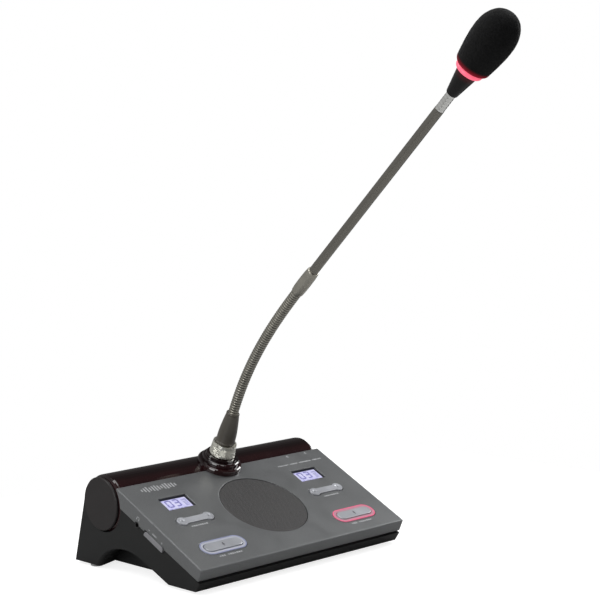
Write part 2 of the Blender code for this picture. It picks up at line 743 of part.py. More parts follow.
def make_flange(base, panel, socket):
    """The stepped collar round the socket, cut to sit down on the panel and the tube."""
    r, step, top, bore = FLANGE_RADIUS, 0.0028, FLANGE_TOP, SOCKET_CLEARANCE - 0.0001
    profile = [
        (bore, -0.0025),
        (r, -0.0025),
        (r, 0.0034),
        (r - 0.0004, 0.0043),
        (r - 0.0013, 0.0048),
        (r - step, 0.0049),
        (r - step, 0.0068),
        (r - 0.0032, 0.0076),
        (r - 0.0040, 0.0080),
        (0.0126, 0.0081),
        (0.0122, 0.0086),
        (0.0124, top - 0.0008),
        (0.0118, top),
        (bore, top),
    ]
    flange = add_part("socket_flange", turned(profile, LARGE), "window_plastic", socket)
    under = block((-0.03, 0.07, -0.02), (0.03, PANEL_LENGTH + GAP, GAP))
    cut(flange, "cut_flange_panel", under, panel)
    cut(flange, "cut_flange_tube", tube_space(GAP, 0.03), base, (0, TUBE_Y, TUBE_Z))


def make_socket(socket):
    """The socket's metal barrel and the insulator with its four contacts."""
    bore, body, top, low = 0.0069, SOCKET_CLEARANCE - 0.0004, FLANGE_TOP - GAP, -0.0120
    barrel = [(bore, low), (body, low), (body, top), (NECK_RADIUS, top)]
    barrel += [(NECK_RADIUS, NECK_TOP), (bore, NECK_TOP)]
    add_part("socket_barrel", turned(barrel, ROUND), "socket_nickel", socket)
    insulator = rod(bore - GAP, low + 0.0005, 0.0020, ROUND)
    insert = add_part("socket_insert", insulator, "jack_plastic", socket)
    cut(insert, "cut_contacts", gather(plug_pins(0.0009, -0.0085, 0.01)), socket)


def plug_pins(radius, low, high):
    circle = 0.0036
    for corner in range(4):
        angle = math.radians(45 + 90 * corner)
        place = at(circle * math.cos(angle), circle * math.sin(angle))
        yield placed(rod(radius, low, high, 12), place)


def make_plug(microphone):
    """The plug's body, with a lip that rests on the socket's barrel, and its pins."""
    low, lip, top, body = 0.0050, NECK_TOP + GAP, COLLAR_TOP - 0.0002, 0.0066
    profile = [(0, low), (body, low), (body, lip), (NECK_RADIUS, lip)]
    profile += [(NECK_RADIUS, lip + LIP_HEIGHT), (body, lip + LIP_HEIGHT), (body, top), (0, top)]
    plug = add_part("mic_plug", turned(profile, ROUND), "socket_nickel", microphone)
    fuse(plug, "plug_pins", gather(plug_pins(0.0006, -0.0060, low + 0.0010)), microphone)


def make_collar(microphone):
    """The knurled ring that draws the plug down by its lip."""
    inner, neck, low = NECK_RADIUS + GAP, 0.0069, FLANGE_TOP + 0.0004
    shoulder = NECK_TOP + LIP_HEIGHT + 2 * GAP
    collar = [
        (inner, low),
        (0.0099, low),
        (0.0101, low + 0.0004),
        (0.0101, low + 0.0012),
        (0.0093, COLLAR_TOP - 0.0008),
        (0.0089, COLLAR_TOP),
        (neck, COLLAR_TOP),
        (neck, shoulder),
        (inner, shoulder),
    ]
    add_part("lock_collar", turned(collar, FINE), "collar_nickel", microphone)


def link_end(radius, pivot, outward):
    """The chamfered end of a link next to a pivot: outward is 1 where the link ends below it."""
    flat = pivot - outward * PIVOT_GAP
    return [(0, flat), (PIVOT_CORE, flat), (radius, flat - outward * LINK_CHAMFER)]


def make_boot(microphone):
    low, stub = COLLAR_TOP + 0.0002, FLEX_RADIUS - 0.0002
    profile = [
        (0, low),
        (0.0079, low),
        (0.0080, low + 0.0008),
        (0.0076, low + 0.0014),
        (0.0070, 0.0310),
        (0.0060, 0.0400),
        (0.0051, BOOT_TOP - 0.0010),
        (0.0050, BOOT_TOP - 0.0003),
        (0.0047, BOOT_TOP),
        (stub, BOOT_TOP),
        *reversed(link_end(stub, BOOT_TOP + FLEX_STUB, 1)),
    ]
    add_part("flex_boot", turned(profile, ROUND), "boot_rubber", microphone)


def link(radius, length, steps=SMALL):
    """A short stiff length between two pivots, with its first pivot at the origin."""
    return turned([*link_end(radius, 0, -1), *reversed(link_end(radius, length, 1))], steps)


def flex_tilt(along):
    """Tilt from upright at a fraction of the way up the lower flex: it bends most near the boot."""
    return SOCKET_TILT + (TUBE_TILT - SOCKET_TILT) * along * (1.5 - 0.5 * along)


def make_lower_flex(microphone):
    """A chain of links, each on its own pivot. Returns the last pivot, below the rigid tube."""
    length = (FLEX_LENGTH - 2 * FLEX_STUB) / FLEX_LINKS
    pivot, distance, tilt = microphone, BOOT_TOP + FLEX_STUB, SOCKET_TILT
    for number in range(1, FLEX_LINKS + 1):
        middle = (FLEX_STUB + (number - 0.5) * length) / FLEX_LENGTH
        bend = flex_tilt(middle) - tilt
        pivot = add_empty(f"flex_pivot_{number}", pivot, (0, 0, distance), bend)
        add_part(f"flex_link_{number}", link(FLEX_RADIUS, length), "flex_metal", pivot)
        distance, tilt = length, flex_tilt(middle)
    return add_empty(f"flex_pivot_{FLEX_LINKS + 1}", pivot, (0, 0, distance), TUBE_TILT - tilt)


def make_stem(pivot):
    """The coupling sleeve and the rigid tube. Returns the pivot above the tube."""
    low, high, edge = FLEX_STUB, FLEX_STUB + SLEEVE_LENGTH, 0.0004
    stub = FLEX_RADIUS - 0.0002
    sleeve = [
        *link_end(stub, 0, -1),
        (stub, low),
        (SLEEVE_RADIUS - edge, low),
        (SLEEVE_RADIUS, low + edge),
        (SLEEVE_RADIUS, high - edge),
        (SLEEVE_RADIUS - edge, high),
        (0, high),
    ]
    add_part("coupling_sleeve", turned(sleeve, ROUND), "flex_metal", pivot)
    low, high = high + GAP, high + STEM_LENGTH
    top, stub = high + UPPER_STUB, UPPER_FLEX_RADIUS - GAP
    stem = [(0, low), (STEM_RADIUS, low), (STEM_RADIUS, high), (stub, high)]
    stem += reversed(link_end(stub, top, 1))
    add_part("stem_tube", turned(stem, ROUND), "stem_metal", pivot)
    return add_empty("upper_pivot_1", pivot, (0, 0, top), (HEAD_TILT - TUBE_TILT) / 2)


def make_upper_flex(pivot):
    """The bright link below the head. Returns the pivot under the head."""
    add_part("upper_flex_link", link(UPPER_FLEX_RADIUS, UPPER_LINK), "bright_flex", pivot)
    turn = (HEAD_TILT - TUBE_TILT) / 2
    return add_empty("head_pivot", pivot, (0, 0, UPPER_LINK), turn)


def foam_outline():
    """(radius, height) over the foam, from its mouth to its tip."""
    steps_corner, steps_side, steps_nose, corner = 2, 5, 7, 0.003
    points = [(FOAM_MOUTH_RADIUS, 0)]
    for i in range(1, steps_corner + 1):
        turn = math.pi / 2 * i / steps_corner
        reach = FOAM_SHOULDER_RADIUS - FOAM_MOUTH_RADIUS
        points.append((FOAM_MOUTH_RADIUS + reach * math.sin(turn), corner * (1 - math.cos(turn))))
    for i in range(1, steps_side + 1):
        height = corner + (FOAM_BODY - corner) * i / steps_side
        swell = math.sin(math.pi / 2 * (height - corner) / (FOAM_BODY - corner))
        points.append((FOAM_SHOULDER_RADIUS + (FOAM_RADIUS - FOAM_SHOULDER_RADIUS) * swell, height))
    for i in range(1, steps_nose):
        turn = math.pi / 2 * i / steps_nose
        radius = FOAM_RADIUS * math.cos(turn) ** FOAM_BLUNTNESS
        points.append((radius, FOAM_BODY + FOAM_NOSE * math.sin(turn)))
    return [*points, (0, FOAM_BODY + FOAM_NOSE)]


def make_head_cone(head):
    """The cone between the flex and the light ring, with a spigot up through the ring."""
    low, top, stub = UPPER_STUB, RING_LOW - GAP, UPPER_FLEX_RADIUS - GAP
    narrow, wide = CONE_RADII
    profile = [
        *link_end(stub, 0, -1),
        (stub, low),
        (narrow - 0.0004, low),
        (narrow, low + 0.0006),
        (wide, top - 0.0003),
        (wide - 0.0003, top),
        (SPIGOT_RADIUS, top),
        (SPIGOT_RADIUS, RING_LOW + RING_HEIGHT),
        (0, RING_LOW + RING_HEIGHT),
    ]
    add_part("head_cone", turned(profile, ROUND), "head_plastic", head)


def make_led_ring(head):
    low, high, edge = RING_LOW, RING_LOW + RING_HEIGHT, 0.0006
    inner, outer = SPIGOT_RADIUS + GAP, RING_RADIUS
    ring = [(inner, low), (outer - edge, low), (outer, low + edge)]
    ring += [(outer, high - edge), (outer - edge, high), (inner, high)]
    add_part("led_ring", turned(ring, FINE), "ring_lit", head)


def make_capsule(head, foot):
    """The microphone capsule, set into the open end of a tube."""
    radius, wall, seat, tip = CAPSULE_RADIUS, 0.0012, foot + 0.012, foot + CAPSULE_LENGTH
    bore = radius - wall
    housing = [(0, foot), (radius, foot), (radius, tip), (bore, tip), (bore, seat), (0, seat)]
    add_part("capsule_housing", turned(housing, ROUND), "head_plastic", head)
    add_part("capsule", rod(bore - GAP, seat + GAP, tip - 0.004), "capsule_metal", head)


def make_head(head):
    make_head_cone(head)
    make_led_ring(head)
    foot = RING_LOW + RING_HEIGHT + GAP
    make_capsule(head, foot)
    bore, depth = CAPSULE_RADIUS + GAP, CAPSULE_LENGTH + 0.001
    inside = [(0, depth), (bore, depth), (bore, 0)]
    foam = turned(inside + foam_outline(), ROUND)
    add_part("windscreen", foam, "foam", head, (0, 0, foot))


def main():
    for old in list(bpy.data.objects):
        bpy.data.objects.remove(old, do_unlink=True)
    base = add_empty("base", None, (0, BASE_Y, 0))
    panel = add_empty("panel_frame", base, PANEL_FRONT, PANEL_SLOPE)
    socket = add_empty("socket_axis", base, (0, *SOCKET), SOCKET_TILT)
    make_panel(base, panel, socket)
    make_housing(base, panel)
    make_cover(base)
    make_cover_screws(base)
    make_feet(base)
    tube_frame = add_empty("tube_axis", base, (0, TUBE_Y, TUBE_Z))
    make_window_tube(tube_frame, socket)
    make_end_caps(tube_frame)
    make_ir_board(tube_frame)
    make_loudspeaker(panel)
    make_displays(panel)
    make_rockers(panel)
    make_mic_buttons(panel)
    make_control_boards(panel)
    make_main_board(base)
    make_battery(base)
    make_volume_keys(panel)
    make_jacks(panel)
    make_flange(base, panel, socket)
    make_socket(socket)
    microphone = add_empty("microphone", socket)
    make_plug(microphone)
    make_collar(microphone)
    make_boot(microphone)
    stem = make_lower_flex(microphone)
    upper_flex = make_stem(stem)
    make_head(make_upper_flex(upper_flex))


main()
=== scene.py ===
"""Desk conference unit with a plug-in gooseneck microphone: finishes, detail, light and camera.

Lengths are in metres. The world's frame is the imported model's: +X to the talker's right, -Y
towards the talker, +Z up. The panel has a frame of its own, with X to the right, Y up the slope
from its front edge and Z out of its face. The socket, the stem and the head each have a frame
with Z along them.
"""

import json
import math

import bmesh
import bpy
from mathutils import Matrix, Vector, noise


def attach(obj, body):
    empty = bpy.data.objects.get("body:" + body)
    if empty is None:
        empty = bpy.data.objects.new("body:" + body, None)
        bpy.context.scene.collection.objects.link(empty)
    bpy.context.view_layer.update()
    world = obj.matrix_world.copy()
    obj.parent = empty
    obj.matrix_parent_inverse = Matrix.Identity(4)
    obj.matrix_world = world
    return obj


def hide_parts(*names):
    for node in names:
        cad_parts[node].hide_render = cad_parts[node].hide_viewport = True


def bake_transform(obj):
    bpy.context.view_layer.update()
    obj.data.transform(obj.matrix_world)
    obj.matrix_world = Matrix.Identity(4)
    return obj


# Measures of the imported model, but for a slightly longer cone under a thinner light ring

GAP = 0.0003  # clearance between neighbouring pieces
BASE_Y = 0.0985  # the middle of the base
PANEL_FRONT = (0.0, BASE_Y - 0.0724, 0.0187)
PANEL_HALF_WIDTH = 0.102
DISPLAY = (0.0664, 0.0758)
DISPLAY_SIZE = (0.0255, 0.0148)
LENS_LOW, LENS_TOP = -0.0016, -0.0010
ROCKER = (0.0662, 0.0536)
ROCKER_TOP = 0.0009
ROCKER_REACH = 0.0120  # from its middle to the middle of each lobe
MIC_BUTTON = (0.0661, 0.0202)
MIC_BUTTON_TOP = 0.0010
LIGHT_RING_SIZE = (0.0405, 0.0150)
GRILLE = (0.0, 0.0527)
GRILLE_RADIUS = 0.0343
GRILLE_RIM = 0.0012  # plain metal round the holes
HOLE_PITCH = 0.00095
NECK_RADIUS, NECK_TOP = 0.0079, 0.0180
FLANGE_TOP = 0.0106
COLLAR_TOP = 0.0210
BOOT_TOP = 0.0472
FLEX_RADIUS = 0.0040
FLEX_STUB = 0.004
# RIB_SHADE and UPPER_RIB_SHADE set how much painted shade the grooves between ribs get.
RIB_PITCH, RIB_DEPTH, RIB_SHADE = 0.0021, 0.00028, 0.55
SLEEVE_LENGTH = 0.024
STEM_RADIUS = 0.0035
UPPER_FLEX_RADIUS = 0.0034
UPPER_RIBS, UPPER_RIB_DEPTH, UPPER_RIB_SHADE = 3, 0.00013, 0.15
UPPER_STUB = 0.002
CONE_LENGTH = 0.0199
RING_LOW = UPPER_STUB + CONE_LENGTH + GAP
RING_HEIGHT = 0.0034
RING_RADIUS = 0.0100
SPIGOT_RADIUS = 0.0050
CAPSULE_BORE = 0.0076
CAPSULE_LENGTH = 0.026
FOAM_RADIUS = 0.0152
FOAM_BODY = 0.0260
FOAM_NOSE = 0.0197
FOAM_CORNER = 0.003  # height of the rounding at its mouth
PRINT = 0.00003  # thickness of printed marks
PAINTED_REFLECTION_LOW, PAINTED_REFLECTION_HIGH = 0.0660, 0.0700  # heights over which the painted reflection of the panel fades from dark red below to near black above

# Setting

CAMERA_PLACE = (-0.8186, BASE_Y - 0.9404, 0.3084)
CAMERA_RIGHT = (0.7262, -0.6869, -0.0268)
CAMERA_UP = (0.0826, 0.0484, 0.9954)
CAMERA_LENS, CAMERA_SENSOR = 99.5, 36  # in millimetres
ROOM_LEFT = (-0.73, 0.65, 0.20)  # towards the camera's left
ROOM_LIGHT = [(0.0, 0.05), (0.35, 0.08), (0.55, 0.12), (0.80, 0.36), (1.0, 0.45)]
MIDDLE = (0.0, 0.05, 0.15)
SOFTBOXES = (
    # name, place, target, size, power
    ("key", (-0.75, 0.40, 1.25), MIDDLE, (0.6, 0.6), 6.5),
    ("side", (1.18, 0.00, 0.69), (0.0, 0.05, 0.05), (0.45, 0.45), 9),
    ("left", (-1.35, -0.35, 0.50), MIDDLE, (0.4, 0.9), 8.5),
    ("top", (0.2, -0.1, 1.3), MIDDLE, (0.7, 0.7), 6),
    ("fill", (1.0, -1.25, 0.55), MIDDLE, (0.8, 0.8), 5.2),
)

SIDES = (("left", -1), ("right", 1))
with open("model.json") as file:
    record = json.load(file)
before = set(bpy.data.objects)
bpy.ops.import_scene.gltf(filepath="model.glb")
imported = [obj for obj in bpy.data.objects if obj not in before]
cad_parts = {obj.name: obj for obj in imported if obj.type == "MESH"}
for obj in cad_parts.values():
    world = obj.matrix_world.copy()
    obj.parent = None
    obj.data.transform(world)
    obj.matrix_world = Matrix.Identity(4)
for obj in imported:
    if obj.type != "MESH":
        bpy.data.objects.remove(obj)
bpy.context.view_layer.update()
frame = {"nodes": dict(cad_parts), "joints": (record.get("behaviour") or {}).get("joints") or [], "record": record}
joints = {joint["name"]: joint for joint in frame["joints"]}


# Frames


def frame_at(origin, z, x=(1, 0, 0)):
    """A frame at origin with its Z along z and its X as near x as it can be."""
    z = Vector(z).normalized()
    y = z.cross(Vector(x)).normalized()
    x = y.cross(z)
    matrix = Matrix((x, y, z)).transposed().to_4x4()
    matrix.translation = Vector(origin)
    return matrix


def pivot(name):
    """A joint's place in the world."""
    return Vector(joints[name]["pos_m"])


NORMAL = -Vector(joints["mic_button_left_press"]["axis"])
SOCKET_AXIS = Vector(joints["mic_unplug"]["axis"])
HEAD_AXIS = Vector(joints["windscreen_pull"]["axis"])
PANEL = frame_at(PANEL_FRONT, NORMAL)
SOCKET = frame_at(pivot("collar_turn") - SOCKET_AXIS * NECK_TOP, SOCKET_AXIS)
HEAD = frame_at(pivot("head_turn"), HEAD_AXIS)
STEM_AXIS = (pivot("head_nod") - pivot("neck_bend_7")).normalized()
STEM = frame_at(pivot("neck_bend_7"), STEM_AXIS)


# Materials

PAINT = (0.150, 0.155, 0.158)
DULL = 0.25  # specular level of the matt blacks


def add(tree, kind, **settings):
    """A node of that kind. A setting names a socket, or a property in lower case."""
    made = tree.nodes.new("ShaderNode" + kind)
    for name, value in settings.items():
        if name in made.inputs:
            made.inputs[name].default_value = value
        else:
            setattr(made, name, value)
    return made


def ramp(tree, source, stops):
    """A colour ramp of (place, colour or grey) stops, fed from a socket."""
    made = add(tree, "ValToRGB")
    elements = made.color_ramp.elements
    while len(elements) < len(stops):
        elements.new(0.5)
    for element, (place, colour) in zip(elements, stops):
        element.position = place
        element.color = (*colour, 1) if isinstance(colour, tuple) else (colour, colour, colour, 1)
    tree.links.new(source, made.inputs["Fac"])
    return made.outputs["Color"]


def material(name, colour, roughness, metallic=0.0, **sockets):
    """A Principled material, with its tree and its shader."""
    made = bpy.data.materials.new(name)
    made.use_nodes = True
    shader = made.node_tree.nodes["Principled BSDF"]
    shader.inputs["Base Color"].default_value = (*colour, 1)
    shader.inputs["Roughness"].default_value = roughness
    shader.inputs["Metallic"].default_value = metallic
    for socket, value in sockets.items():
        shader.inputs[socket.replace("_", " ")].default_value = value
    return made, made.node_tree, shader


def place_in(tree, matrix=None):
    """Coordinates in metres: the object's own, or those of a frame in the world."""
    place = add(tree, "TexCoord").outputs["Object"]
    if matrix is None:
        return place
    back = matrix.inverted()
    mapping = add(tree, "Mapping")
    mapping.inputs["Rotation"].default_value = back.to_euler()
    mapping.inputs["Location"].default_value = back.translation
    tree.links.new(place, mapping.inputs["Vector"])
    return mapping.outputs["Vector"]


def speckle(tree, place, scale, detail=2.0, roughness=0.5):
    """A soft noise."""
    made = add(tree, "TexNoise", Scale=scale, Detail=detail, Roughness=roughness)
    tree.links.new(place, made.inputs["Vector"])
    return made.outputs["Fac"]


def cells(tree, place, scale, randomness=1.0):
    """The distance to the nearest point of a cloud, or of a grid with no randomness."""
    made = add(tree, "TexVoronoi", Scale=scale, Randomness=randomness)
    tree.links.new(place, made.inputs["Vector"])
    return made.outputs["Distance"]


def grain(tree, shader, height, strength, distance):
    """Bumps from a height socket, on top of any bumps already there."""
    bump = add(tree, "Bump", Strength=strength, Distance=distance)
    tree.links.new(height, bump.inputs["Height"])
    normal = shader.inputs["Normal"]
    if normal.is_linked:
        tree.links.new(normal.links[0].from_socket, bump.inputs["Normal"])
    tree.links.new(bump.outputs["Normal"], normal)


def vary(tree, shader, socket, source, low, high):
    """Drives a socket between two values, or colours, as a noise goes from low to high."""
    output = ramp(tree, source, [(0.3, low), (0.7, high)])
    tree.links.new(output, shader.inputs[socket])


def moulded(name, colour, roughness, grain_scale=2600, strength=0.25, depth=0.00006, **sockets):
    """Moulded plastic: a spark-eroded grain, faint mottling and an uneven sheen."""
    made, tree, shader = material(name, colour, roughness, **sockets)
    place = place_in(tree)
    fine, broad = speckle(tree, place, grain_scale, 3.0), speckle(tree, place, 45, 4.0)
    darker = tuple(c * 0.86 for c in colour)
    lighter = tuple(c * 1.12 for c in colour)
    vary(tree, shader, "Base Color", broad, darker, lighter)
    vary(tree, shader, "Roughness", broad, roughness - 0.05, roughness + 0.05)
    grain(tree, shader, fine, strength, depth)
    return made


def metal(name, colour, roughness, fine_scale=1800, strength=0.06, uneven=0.08, **sockets):
    """Plain metal: a fine tooth, a slightly uneven polish, and painted shade in any grooves."""
    made, tree, shader = material(name, colour, roughness, 1.0, **sockets)
    place = place_in(tree)
    fine, broad = speckle(tree, place, fine_scale, 2.0), speckle(tree, place, 120, 3.0)
    darker, lighter = tuple(c * (1 - uneven) for c in colour), tuple(c * (1 + uneven) for c in colour)
    tint = ramp(tree, broad, [(0.3, darker), (0.7, lighter)])
    # Painted shade: the colour darkens towards 0.12 of itself as far as the groove attribute says a vertex lies
    # deep in a groove.
    painted_groove_shade = add(tree, "Attribute", attribute_name="groove")
    shaded = add(tree, "Mix", data_type="RGBA")
    shaded.inputs["B"].default_value = (*(c * 0.12 for c in colour), 1)
    tree.links.new(painted_groove_shade.outputs["Fac"], shaded.inputs["Factor"])
    tree.links.new(tint, shaded.inputs["A"])
    tree.links.new(shaded.outputs["Result"], shader.inputs["Base Color"])
    vary(tree, shader, "Roughness", broad, roughness - 0.6 * uneven, roughness + 0.6 * uneven)
    grain(tree, shader, fine, strength, 0.00003)
    return made


def panel_paint():
    """Metallic grey paint: flakes, a fine orange peel, a satin lacquer and soft edges."""
    made, tree, shader = material(
        "panel_paint", PAINT, 0.42, 0.55, Coat_Weight=0.25, Coat_Roughness=0.22
    )
    place = place_in(tree)
    darker, lighter = tuple(c * 0.85 for c in PAINT), tuple(c * 1.15 for c in PAINT)
    vary(tree, shader, "Base Color", cells(tree, place, 5200), lighter, darker)
    vary(tree, shader, "Roughness", speckle(tree, place, 60, 4.0), 0.38, 0.47)
    edges = add(tree, "Bevel", Radius=0.0014)
    tree.links.new(edges.outputs["Normal"], shader.inputs["Normal"])
    grain(tree, shader, speckle(tree, place, 1500, 2.0), 0.10, 0.00003)
    return made


def window_plastic():
    """Smoked infra-red plastic, near black and polished, with faint moulding flow, and a painted reflection of the
    panel that turns it dark red lower down.
    """
    made, tree, shader = material("window_plastic", (0.006, 0.0014, 0.0018), 0.08)
    place = place_in(tree)
    broad = speckle(tree, place, 18, 3.0)
    darker = ramp(tree, broad, [(0.3, (0.0040, 0.0011, 0.0014)), (0.7, (0.0065, 0.0014, 0.0018))])
    # Painted reflection: the panel's reflection, painted on as a redder colour low on the window.
    painted_reflection = ramp(tree, broad, [(0.3, (0.0150, 0.0050, 0.0056)), (0.7, (0.0210, 0.0064, 0.0072))])
    parts = add(tree, "SeparateXYZ")
    tree.links.new(place, parts.inputs[0])
    height = add(tree, "MapRange", interpolation_type="SMOOTHSTEP")
    height.inputs["From Min"].default_value = PAINTED_REFLECTION_LOW
    height.inputs["From Max"].default_value = PAINTED_REFLECTION_HIGH
    tree.links.new(parts.outputs["Z"], height.inputs["Value"])
    mix = add(tree, "Mix", data_type="RGBA")
    tree.links.new(height.outputs["Result"], mix.inputs["Factor"])
    tree.links.new(painted_reflection, mix.inputs["A"])
    tree.links.new(darker, mix.inputs["B"])
    tree.links.new(mix.outputs["Result"], shader.inputs["Base Color"])
    vary(tree, shader, "Roughness", speckle(tree, place, 90, 3.0), 0.05, 0.12)
    grain(tree, shader, speckle(tree, place, 35, 1.0), 0.04, 0.0004)
    return made


def grille_metal():
    """A punched sheet: round holes on a diagonal grid, inside a plain rim."""
    made, tree, shader = material("grille_metal", (0.045, 0.045, 0.045), 0.5, 0.3)
    grid = PANEL @ Matrix.Translation((*GRILLE, 0)) @ Matrix.Rotation(math.pi / 4, 4, "Z")
    flat = add(tree, "VectorMath", operation="MULTIPLY")
    flat.inputs[1].default_value = (1, 1, 0)
    tree.links.new(place_in(tree, grid), flat.inputs[0])
    distance = cells(tree, flat.outputs[0], 1 / HOLE_PITCH, 0.0)
    holes = ramp(tree, distance, [(0.26, 0.0), (0.40, 1.0)])
    length = add(tree, "VectorMath", operation="LENGTH")
    tree.links.new(flat.outputs[0], length.inputs[0])
    inside = GRILLE_RADIUS - GRILLE_RIM
    rim = ramp(tree, length.outputs["Value"], [(inside, 0.0), (inside + 0.0001, 1.0)])
    solid = add(tree, "Mix", data_type="RGBA", blend_type="LIGHTEN")
    solid.inputs["Factor"].default_value = 1.0
    tree.links.new(holes, solid.inputs["A"])
    tree.links.new(rim, solid.inputs["B"])
    sheet = solid.outputs["Result"]
    colour = ramp(tree, sheet, [(0.0, (0.012, 0.012, 0.012)), (1.0, (0.056, 0.0535, 0.054))])
    tree.links.new(colour, shader.inputs["Base Color"])
    grain(tree, shader, sheet, 0.5, 0.0002)
    grain(tree, shader, speckle(tree, place_in(tree), 2400), 0.1, 0.00003)
    return made


def foam():
    """Open-cell foam: near black, with pores, finer fuzz and a faint sheen."""
    made, tree, shader = material("foam", (0.005, 0.005, 0.005), 0.95, Sheen_Weight=0.08)
    shader.inputs["Sheen Roughness"].default_value = 0.4
    shader.inputs["Specular IOR Level"].default_value = 0.08
    place = place_in(tree)
    pores = cells(tree, place, 2100)
    fuzz = speckle(tree, place, 900, 4.0, 0.7)
    vary(tree, shader, "Base Color", fuzz, (0.0038, 0.0038, 0.0039), (0.0120, 0.0120, 0.0123))
    grain(tree, shader, pores, 0.8, 0.00035)
    grain(tree, shader, fuzz, 0.5, 0.0004)
    return made


def paint_red_glow_below(made, low, high, strength, matrix=None):
    """Paints the ring's red light onto a material as a glow near a height in a frame: strong at low, none at high.
    """
    tree = made.node_tree
    shader = tree.nodes["Principled BSDF"]
    parts = add(tree, "SeparateXYZ")
    tree.links.new(place_in(tree, matrix), parts.inputs[0])
    spread = add(tree, "MapRange", interpolation_type="SMOOTHSTEP")
    for socket, value in (("From Min", low), ("From Max", high), ("To Min", strength), ("To Max", 0.0)):
        spread.inputs[socket].default_value = value
    tree.links.new(parts.outputs["Z"], spread.inputs["Value"])
    shader.inputs["Emission Color"].default_value = (0.55, 0.004, 0.030, 1)
    tree.links.new(spread.outputs["Result"], shader.inputs["Emission Strength"])


def lit_ring(name, colour, glow, strength):
    """Translucent plastic with lamps behind it: brighter in patches where the lamps are."""
    made, tree, shader = material(name, colour, 0.28, Emission_Strength=strength)
    place = place_in(tree)
    patches = speckle(tree, place, 230, 1.0)
    dim = tuple(c * 0.82 for c in glow)
    vary(tree, shader, "Emission Color", patches, dim, glow)
    grain(tree, shader, speckle(tree, place, 1500), 0.08, 0.00003)
    return made


def display_back():
    """The lit liquid-crystal glass: a lavender back light in pale patches, with fine rows."""
    made, tree, shader = material(
        "display_back", (0.26, 0.26, 0.44), 0.12, Coat_Weight=0.6, Coat_Roughness=0.04
    )
    shader.inputs["Emission Strength"].default_value = 0.50
    place = place_in(tree)
    patches = speckle(tree, place, 210, 2.0)
    vary(tree, shader, "Emission Color", patches, (0.62, 0.60, 0.98), (1.0, 0.99, 1.0))
    rows = add(tree, "TexWave", Scale=900.0, bands_direction="Y")
    tree.links.new(place, rows.inputs["Vector"])
    grain(tree, shader, rows.outputs["Fac"], 0.05, 0.00002)
    return made


def battery_wrap():
    """Blue shrink wrap, slightly wrinkled."""
    made, tree, shader = material("battery_wrap", (0.02, 0.06, 0.20), 0.35)
    place = place_in(tree)
    vary(tree, shader, "Base Color", speckle(tree, place, 30, 3.0), (0.015, 0.05, 0.17), (0.03, 0.08, 0.24))
    grain(tree, shader, speckle(tree, place, 200, 3.0), 0.3, 0.0003)
    return made


def circuit_board():
    """Green lacquer over copper tracks."""
    made, tree, shader = material("circuit_board", (0.01, 0.10, 0.03), 0.35)
    place = place_in(tree)
    tracks = add(tree, "TexBrick", Scale=220.0, offset=0.5)
    tracks.inputs["Mortar Size"].default_value = 0.06
    tracks.inputs["Color1"].default_value = (0.008, 0.075, 0.026, 1)
    tracks.inputs["Color2"].default_value = (0.010, 0.090, 0.030, 1)
    tracks.inputs["Mortar"].default_value = (0.030, 0.180, 0.060, 1)
    tree.links.new(place, tracks.inputs["Vector"])
    tree.links.new(tracks.outputs["Color"], shader.inputs["Base Color"])
    grain(tree, shader, tracks.outputs["Fac"], 0.3, 0.00005)
    return made


def make_materials():
    """One material for each of the record's slots, by the slot's name."""
    silver = dict(grain_scale=3000, strength=0.08)
    return {
        "panel_metal": panel_paint(),
        "black_plastic": moulded("black_plastic", (0.0110, 0.0113, 0.0113), 0.50, Specular_IOR_Level=DULL),
        "window_plastic": window_plastic(),
        "cap_plastic": moulded("cap_plastic", (0.020, 0.0178, 0.0178), 0.45, Specular_IOR_Level=DULL),
        "rubber": moulded("rubber", (0.30, 0.30, 0.30), 0.75, 900, 0.3),
        "screw_steel": metal("screw_steel", (0.42, 0.42, 0.43), 0.30),
        "grille_metal": grille_metal(),
        "speaker_paper": moulded("speaker_paper", (0.02, 0.02, 0.02), 0.85, 700, 0.5),
        "speaker_steel": metal("speaker_steel", (0.33, 0.33, 0.34), 0.38),
        "display_glass": display_back(),
        "display_body": moulded("display_body", (0.04, 0.04, 0.09), 0.5),
        # Painted light: the unlit ring glows faintly blue, though no lamp behind it is on.
        "ring_unlit": lit_ring("ring_unlit", (0.40, 0.41, 0.46), (0.45, 0.50, 0.70), 0.07),
        "ring_lit": lit_ring("ring_lit", (0.34, 0.20, 0.24), (1.0, 0.30, 0.45), 0.20),
        "button_plastic": moulded("button_plastic", (0.38, 0.39, 0.42), 0.34, Metallic=0.25, **silver),
        "volume_plastic": moulded("volume_plastic", (0.20, 0.20, 0.21), 0.42, **silver),
        "circuit_board": circuit_board(),
        "jack_plastic": moulded("jack_plastic", (0.012, 0.012, 0.012), 0.35),
        "battery_wrap": battery_wrap(),
        "socket_nickel": metal("socket_nickel", (0.55, 0.54, 0.50), 0.25),
        "collar_nickel": metal("collar_nickel", (0.84, 0.83, 0.74), 0.28),
        "boot_rubber": moulded("boot_rubber", (0.070, 0.063, 0.052), 0.34, 1500, 0.12),
        "flex_metal": metal("flex_metal", (0.40, 0.385, 0.335), 0.38),
        "stem_metal": metal("stem_metal", (0.235, 0.225, 0.20), 0.27, strength=0.02, uneven=0.03),
        "bright_flex": metal("bright_flex", (0.88, 0.88, 0.85), 0.18),
        "head_plastic": moulded("head_plastic", (0.006, 0.006, 0.006), 0.34, 2200, 0.12),
        "capsule_metal": metal("capsule_metal", (0.30, 0.30, 0.30), 0.35),
        "foam": foam(),
    }


# Shapes


